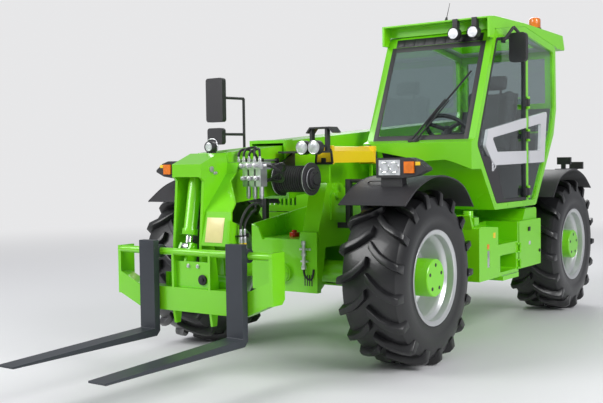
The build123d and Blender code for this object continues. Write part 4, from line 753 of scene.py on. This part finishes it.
cluster([leaning(plate((-18, 128), (-2.2, 0.3), (892, 1052), 0.6), leg_line)], "leg_plate", "boom_tip", "cream_plate")
cluster([plate((1054.5, 1057), (-335, -292), (790, 832), 0.6)], "step_plate_yellow", "chassis", "yellow_paint")
cluster([plate((1054.5, 1057), (-455, -415), (712, 750), 0.6)], "step_plate_orange", "chassis", "orange_plate")
cluster([plate((1054.5, 1057), (-450, -412), (571, 698), 0.6)], "step_plate_grey", "chassis", "steel")
cluster([plate((1054.5, 1057), (417, 457), (680, 710), 0.6)], "locker_plate", "locker_door", "trim_white")
locker = [plate((1054, 1064), (398, 440), (796, 830), 2), turned((1054, 665, 611), (1062, 665, 611), 14)]
cluster(locker, "locker_latch", "locker_door", "black_steel")
print("strut, nose and plates")

# %% [markdown]
# ## Carriage, door and mirrors
# Small parts that a hand touches or an eye finds: bolts on the carriage's cross plate, the door's pull
# handle, the mirrors' glass, and ribs on the lower step that keep a muddy boot from slipping.

# %% Bolts and pins
bolts = nuts([(-95, -2584, 742), (-15, -2584, 742)], (0, -1, 0), 14)
cluster(bolts, "cross_plate_bolts", "carriage", "steel")
pin = [turned((25, -2582, 656), (25, -2594, 656), 34, 32, 3), turned((25, -2594, 656), (25, -2602, 656), 16, 24, 2)]
cluster(pin, "carriage_plug", "carriage", "black_steel")
keepers = [plate((-45, -37), (-2382, -2350), (1330, 1350), 2), turned((-45, -2400, 1365), (-36, -2400, 1365), 20)]
keepers += nuts([(-35, -2360, 1340)], (1, 0, 0), 9)
cluster(keepers, "pin_keeper", "boom_tip", "steel")

# %% Door handle, step ribs and mirror glass
PULL = ((1064, 1325), (1084, 1335), (1084, 1365), (1064, 1375))
handle = [plate((1058, 1066), (-368, -332), (1312, 1388), 3), hose([(x, -350, z) for x, z in PULL], 5)]
cluster(handle, "door_handle", "door", "trim_white")
ribs = [plate((866, 1064), (y, y + 8), (474.5, 480), 1.5) for y in range(-170, 146, 26)]
cluster(ribs, "step_ribs", "chassis", "steel")
cluster([plate((1095, 1215), (-25.5, -22), (2182, 2388), 1.2)], "mirror_glass_left", "door", "rod_chrome")
cluster([plate((-1215, -1055), (-1010.5, -1007), (1764, 2106), 1.2),
         plate((-1205, -1065), (-1010.5, -1007), (1572, 1688), 1.2)], "mirror_glass_right", "chassis", "rod_chrome")
latches = [plate((-1097, -1089), (y, y + 60), (1000, 1030), 2.5) for y in (-420, 360)]
cluster(latches, "hood_latches", "hood", "black_steel")

# %% [markdown]
# ## Fenders
# A fender is one sheet of tough black plastic, bent round the wheel and stiffened by a rolled lip on its
# outer edge. A smooth line through the stations gives the bend; it is pulled sideways into a sheet,
# given a thickness, and a bar along the outer edge makes the lip. Bars with brackets carry it.

# %% Smooth sheets over the wheels
FENDER = (      # from the axle toward the machine's end, height
    (-460, 1116), (-350, 1191), (-250, 1241), (-75, 1292), (105, 1299), (330, 1259), (480, 1184), (580, 1064),
)


def fender(hand, end):
    """One sheet with its lips, its stay and the stay's post, at a hand and an end of the machine."""
    axle = end * AXLE
    line = [(hand * 620, axle - end * y, z) for y, z in FENDER]
    smooth_line(line, 6)
    bpy.ops.object.convert(target="MESH")
    sheet = bpy.context.object
    bpy.ops.object.mode_set(mode="EDIT")
    bpy.ops.mesh.select_mode(type="VERT")
    bpy.ops.mesh.select_all(action="SELECT")
    bpy.ops.mesh.extrude_region_move(TRANSFORM_OT_translate={"value": (hand * 0.5, 0, 0)})
    bpy.ops.mesh.select_all(action="SELECT")
    bpy.ops.mesh.normals_make_consistent(inside=False)
    bpy.ops.object.mode_set(mode="OBJECT")
    wall = sheet.modifiers.new("wall", "SOLIDIFY")
    wall.thickness, wall.offset = 0.008, 0
    bpy.ops.object.modifier_apply(modifier="wall")
    broken(sheet, 2)
    edges = [hose([(x, y, z) for _, y, z in line], 6.5, 12) for x in (hand * 622, hand * 1116)]
    y = axle - end * 60
    post = [plate(sorted((hand * 290, hand * 400)), (y - 20, y + 20), (920, 960), 2),
            plate(sorted((hand * 360, hand * 400)), (y - 20, y + 20), (940, 1276), 2),
            turned((hand * 362, y, 1262), (hand * 678, y, 1262), 14),
            plate(sorted((hand * 630, hand * 680)), (y - 20, y + 20), (1262, 1292), 2)]
    return [sheet] + edges + post


sheets = []
for end in (-1, 1):
    for hand in (-1, 1):
        sheets += fender(hand, end)
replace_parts(cluster(sheets, "fender_sheets", "chassis", "dark_plastic"), "fenders")
STRAP = ((700, -1640, 1250), (710, -1640, 1268), (780, -1650, 1268), (850, -1640, 1268), (860, -1640, 1250))
straps = [hose([(hand * x, y, z) for x, y, z in STRAP], 4) for hand in (-1, 1)]
cluster(straps, "fender_straps", "chassis", "black_steel")
print("carriage, door, mirrors and fenders")

# %% [markdown]
# ## Seat
# The driver's seat has foam cushions in woven cloth; the seat and the back have two sewn channels each.
# Cloth pressure swells a cushion the way foam fills its cover: the mesh is remeshed into even cells, blown
# up for a few frames and held to a few millimetres. Then the side bolsters are raised and the channels are
# pressed in where the thread pulls the cover down.
# The pedestal and the arm rests are hard and stay plain mouldings.

# %% A stuffed cushion
CELL, MOST_SWELL = 0.006, 0.014     # metres
SEAM_DEPTH = SEAM_WIDTH = 0.007
FRAMES = 20


def cushion(name, x, y, z, line, front_is, seams, bolster=0.0):
    """A cushion between pairs of faces, leaned by line(z). front_is picks its outer face by its normal."""
    piece = leaning(plate((x[0] + 8, x[1] - 8), (y[0] + 8, y[1] - 8), (z[0] + 8, z[1] - 8), 26), line)
    only(piece)
    middle = (x[0] + x[1]) / 2000
    cells = piece.modifiers.new("cells", "REMESH")
    cells.mode, cells.voxel_size = "VOXEL", CELL
    bpy.ops.object.modifier_apply(modifier="cells")
    before = [corner.co.copy() for corner in piece.data.vertices]
    blown = piece.modifiers.new("blown", "CLOTH")
    blown.settings.quality = 4
    blown.settings.use_pressure = True
    blown.settings.uniform_pressure_force = 4
    blown.settings.effector_weights.gravity = 0
    for count in range(1, FRAMES + 1):
        bpy.context.scene.frame_set(count)
    bpy.ops.object.modifier_apply(modifier="blown")
    bpy.context.scene.frame_set(1)
    for corner, old in zip(piece.data.vertices, before):
        move = corner.co - old
        if move.length > MOST_SWELL:
            corner.co = old + move.normalized() * MOST_SWELL
    normals = [corner.normal.copy() for corner in piece.data.vertices]
    for corner, way in zip(piece.data.vertices, normals):
        if not front_is(way):
            continue
        off = abs(corner.co.x - middle)
        if bolster:
            side = min(1, max(0, (off - 0.10) / 0.07))
            corner.co += way * bolster * side * side * (3 - 2 * side)
        for seam in seams:
            corner.co -= way * SEAM_DEPTH * 2.718 ** -((off - seam) / SEAM_WIDTH) ** 2
    finer = piece.modifiers.new("finer", "SUBSURF")
    finer.levels = finer.render_levels = 1
    bpy.ops.object.modifier_apply(modifier="finer")
    settle(piece, name, "chassis", "seat_fabric", 60)
    return piece


def back_line(z):
    """How far the back rest has leaned at a height."""
    return 0.25 * (z - 1450)


def faces_up(way):
    return way.z > 0.4


def faces_forward(way):
    return way.y < -0.4


base = cushion("seat_cushion", (350, 810), (130, 640), (1370, 1478), lambda z: 0, faces_up, (0.09,), 0.016)
back = cushion("seat_back", (362, 798), (606, 716), (1462, 2008), back_line, faces_forward, (0.09,), 0.022)
rest = cushion("head_rest", (450, 710), (612, 692), (2014, 2158), back_line, faces_forward, ())
print("seat cushions", [len(piece.data.polygons) for piece in (base, back, rest)], "faces")

# %% Pedestal and arm rests
hard = [plate((420, 740), (200, 520), (1050, 1330), 14), plate((360, 800), (150, 660), (1330, 1372), 8),
        leaning(plate((372, 788), (716, 740), (1470, 1990), 8), back_line)]
for x in (300, 815):
    inner = sorted((x + 22, 400 if x < 500 else 760))
    hard += [plate((x, x + 45), (300, 700), (1602, 1648), 12), plate((x + 10, x + 35), (640, 690), (1384, 1606), 5),
             plate(inner, (640, 690), (1380, 1402), 4)]
hard += [leaning(plate((x, x + 20), (650, 664), (1990, 2040), 2), back_line) for x in (500, 640)]
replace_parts(cluster(hard, "seat_frame", "chassis", "dark_plastic"), "seat")
print("seat")

# %% [markdown]
# ## Inside the cab
# The cab's inner faces are lined: a mat on the floor, dark panels on the walls below the windows and a pale
# headliner. The black slatted plate across the top of the windscreen frame is painted shade, the shadow under the
# roof's lip. Each is a thin plate; a wall panel's top corners are pulled out to follow the cab's outline, and
# what lies on a sloping face is moved back by its lean.

# %% Panels and mat
mat = plate((172, 1016), (-262, 528), (1050.5, 1056), 1.5)
side_panel = plate((169.5, 174), (-262, 528), (1057, 1540), 1)
for corner in side_panel.data.vertices:
    rise = max(0, min(1, (corner.co.z - 1.057) / 0.4))
    corner.co.y += rise * (-0.29 if corner.co.y < STATION_ZERO + 0.13 else 0.33)
low_back = leaning(plate((172, 1016), (-7, -3), (1062, 1632), 1), lambda z: 555 + (z - 1050) * 0.7203)
high_back = leaning(plate((172, 1016), (-7, -3), (1650, 1852), 1), lambda z: 980 + (z - 1640) * 0.3023)
cluster([mat, side_panel, low_back, high_back], "cab_panels", "chassis", "dark_plastic")

# %% Painted shade under the roof's lip, and headliner
# a black plate and slats over the windscreen's header: their black is painted shade under the roof's lip
painted_shade = [leaning(plate((215, 975), (-3, 4), (2327, 2392), 1), screen_line)]
painted_shade += [leaning(plate((230 + 92 * k, 290 + 92 * k), (-6, -2), (2336, 2382), 1), screen_line) for k in range(8)]
cluster(painted_shade, "painted_visor_shade", "chassis", "black_steel")


def under_roof(y, level, slope):
    """Three strips, right, left and across, under a roof half that slopes along Y."""
    spans = (((172, 246), y[:2]), ((943, 1016), y[:2]), ((247, 942), y[2:]))
    strips = [plate(x, span, (-6, -2), 1) for x, span in spans]
    for strip in strips:
        for corner in strip.data.vertices:
            corner.co.z += level + (corner.co.y - STATION_ZERO) * slope
    return strips


front_half = under_roof((-240, 300, -240, -4), 2.374 + 0.265 * 0.1385, 0.1385)
rear_half = under_roof((340, 1000, 864, 1000), 2.455 + 0.320 * 0.1338, -0.1338)
cluster(front_half + rear_half, "headliner", "chassis", "trim_white")
print("cab lined")

# %% Standard view transform
bpy.context.scene.view_settings.view_transform = "Standard"
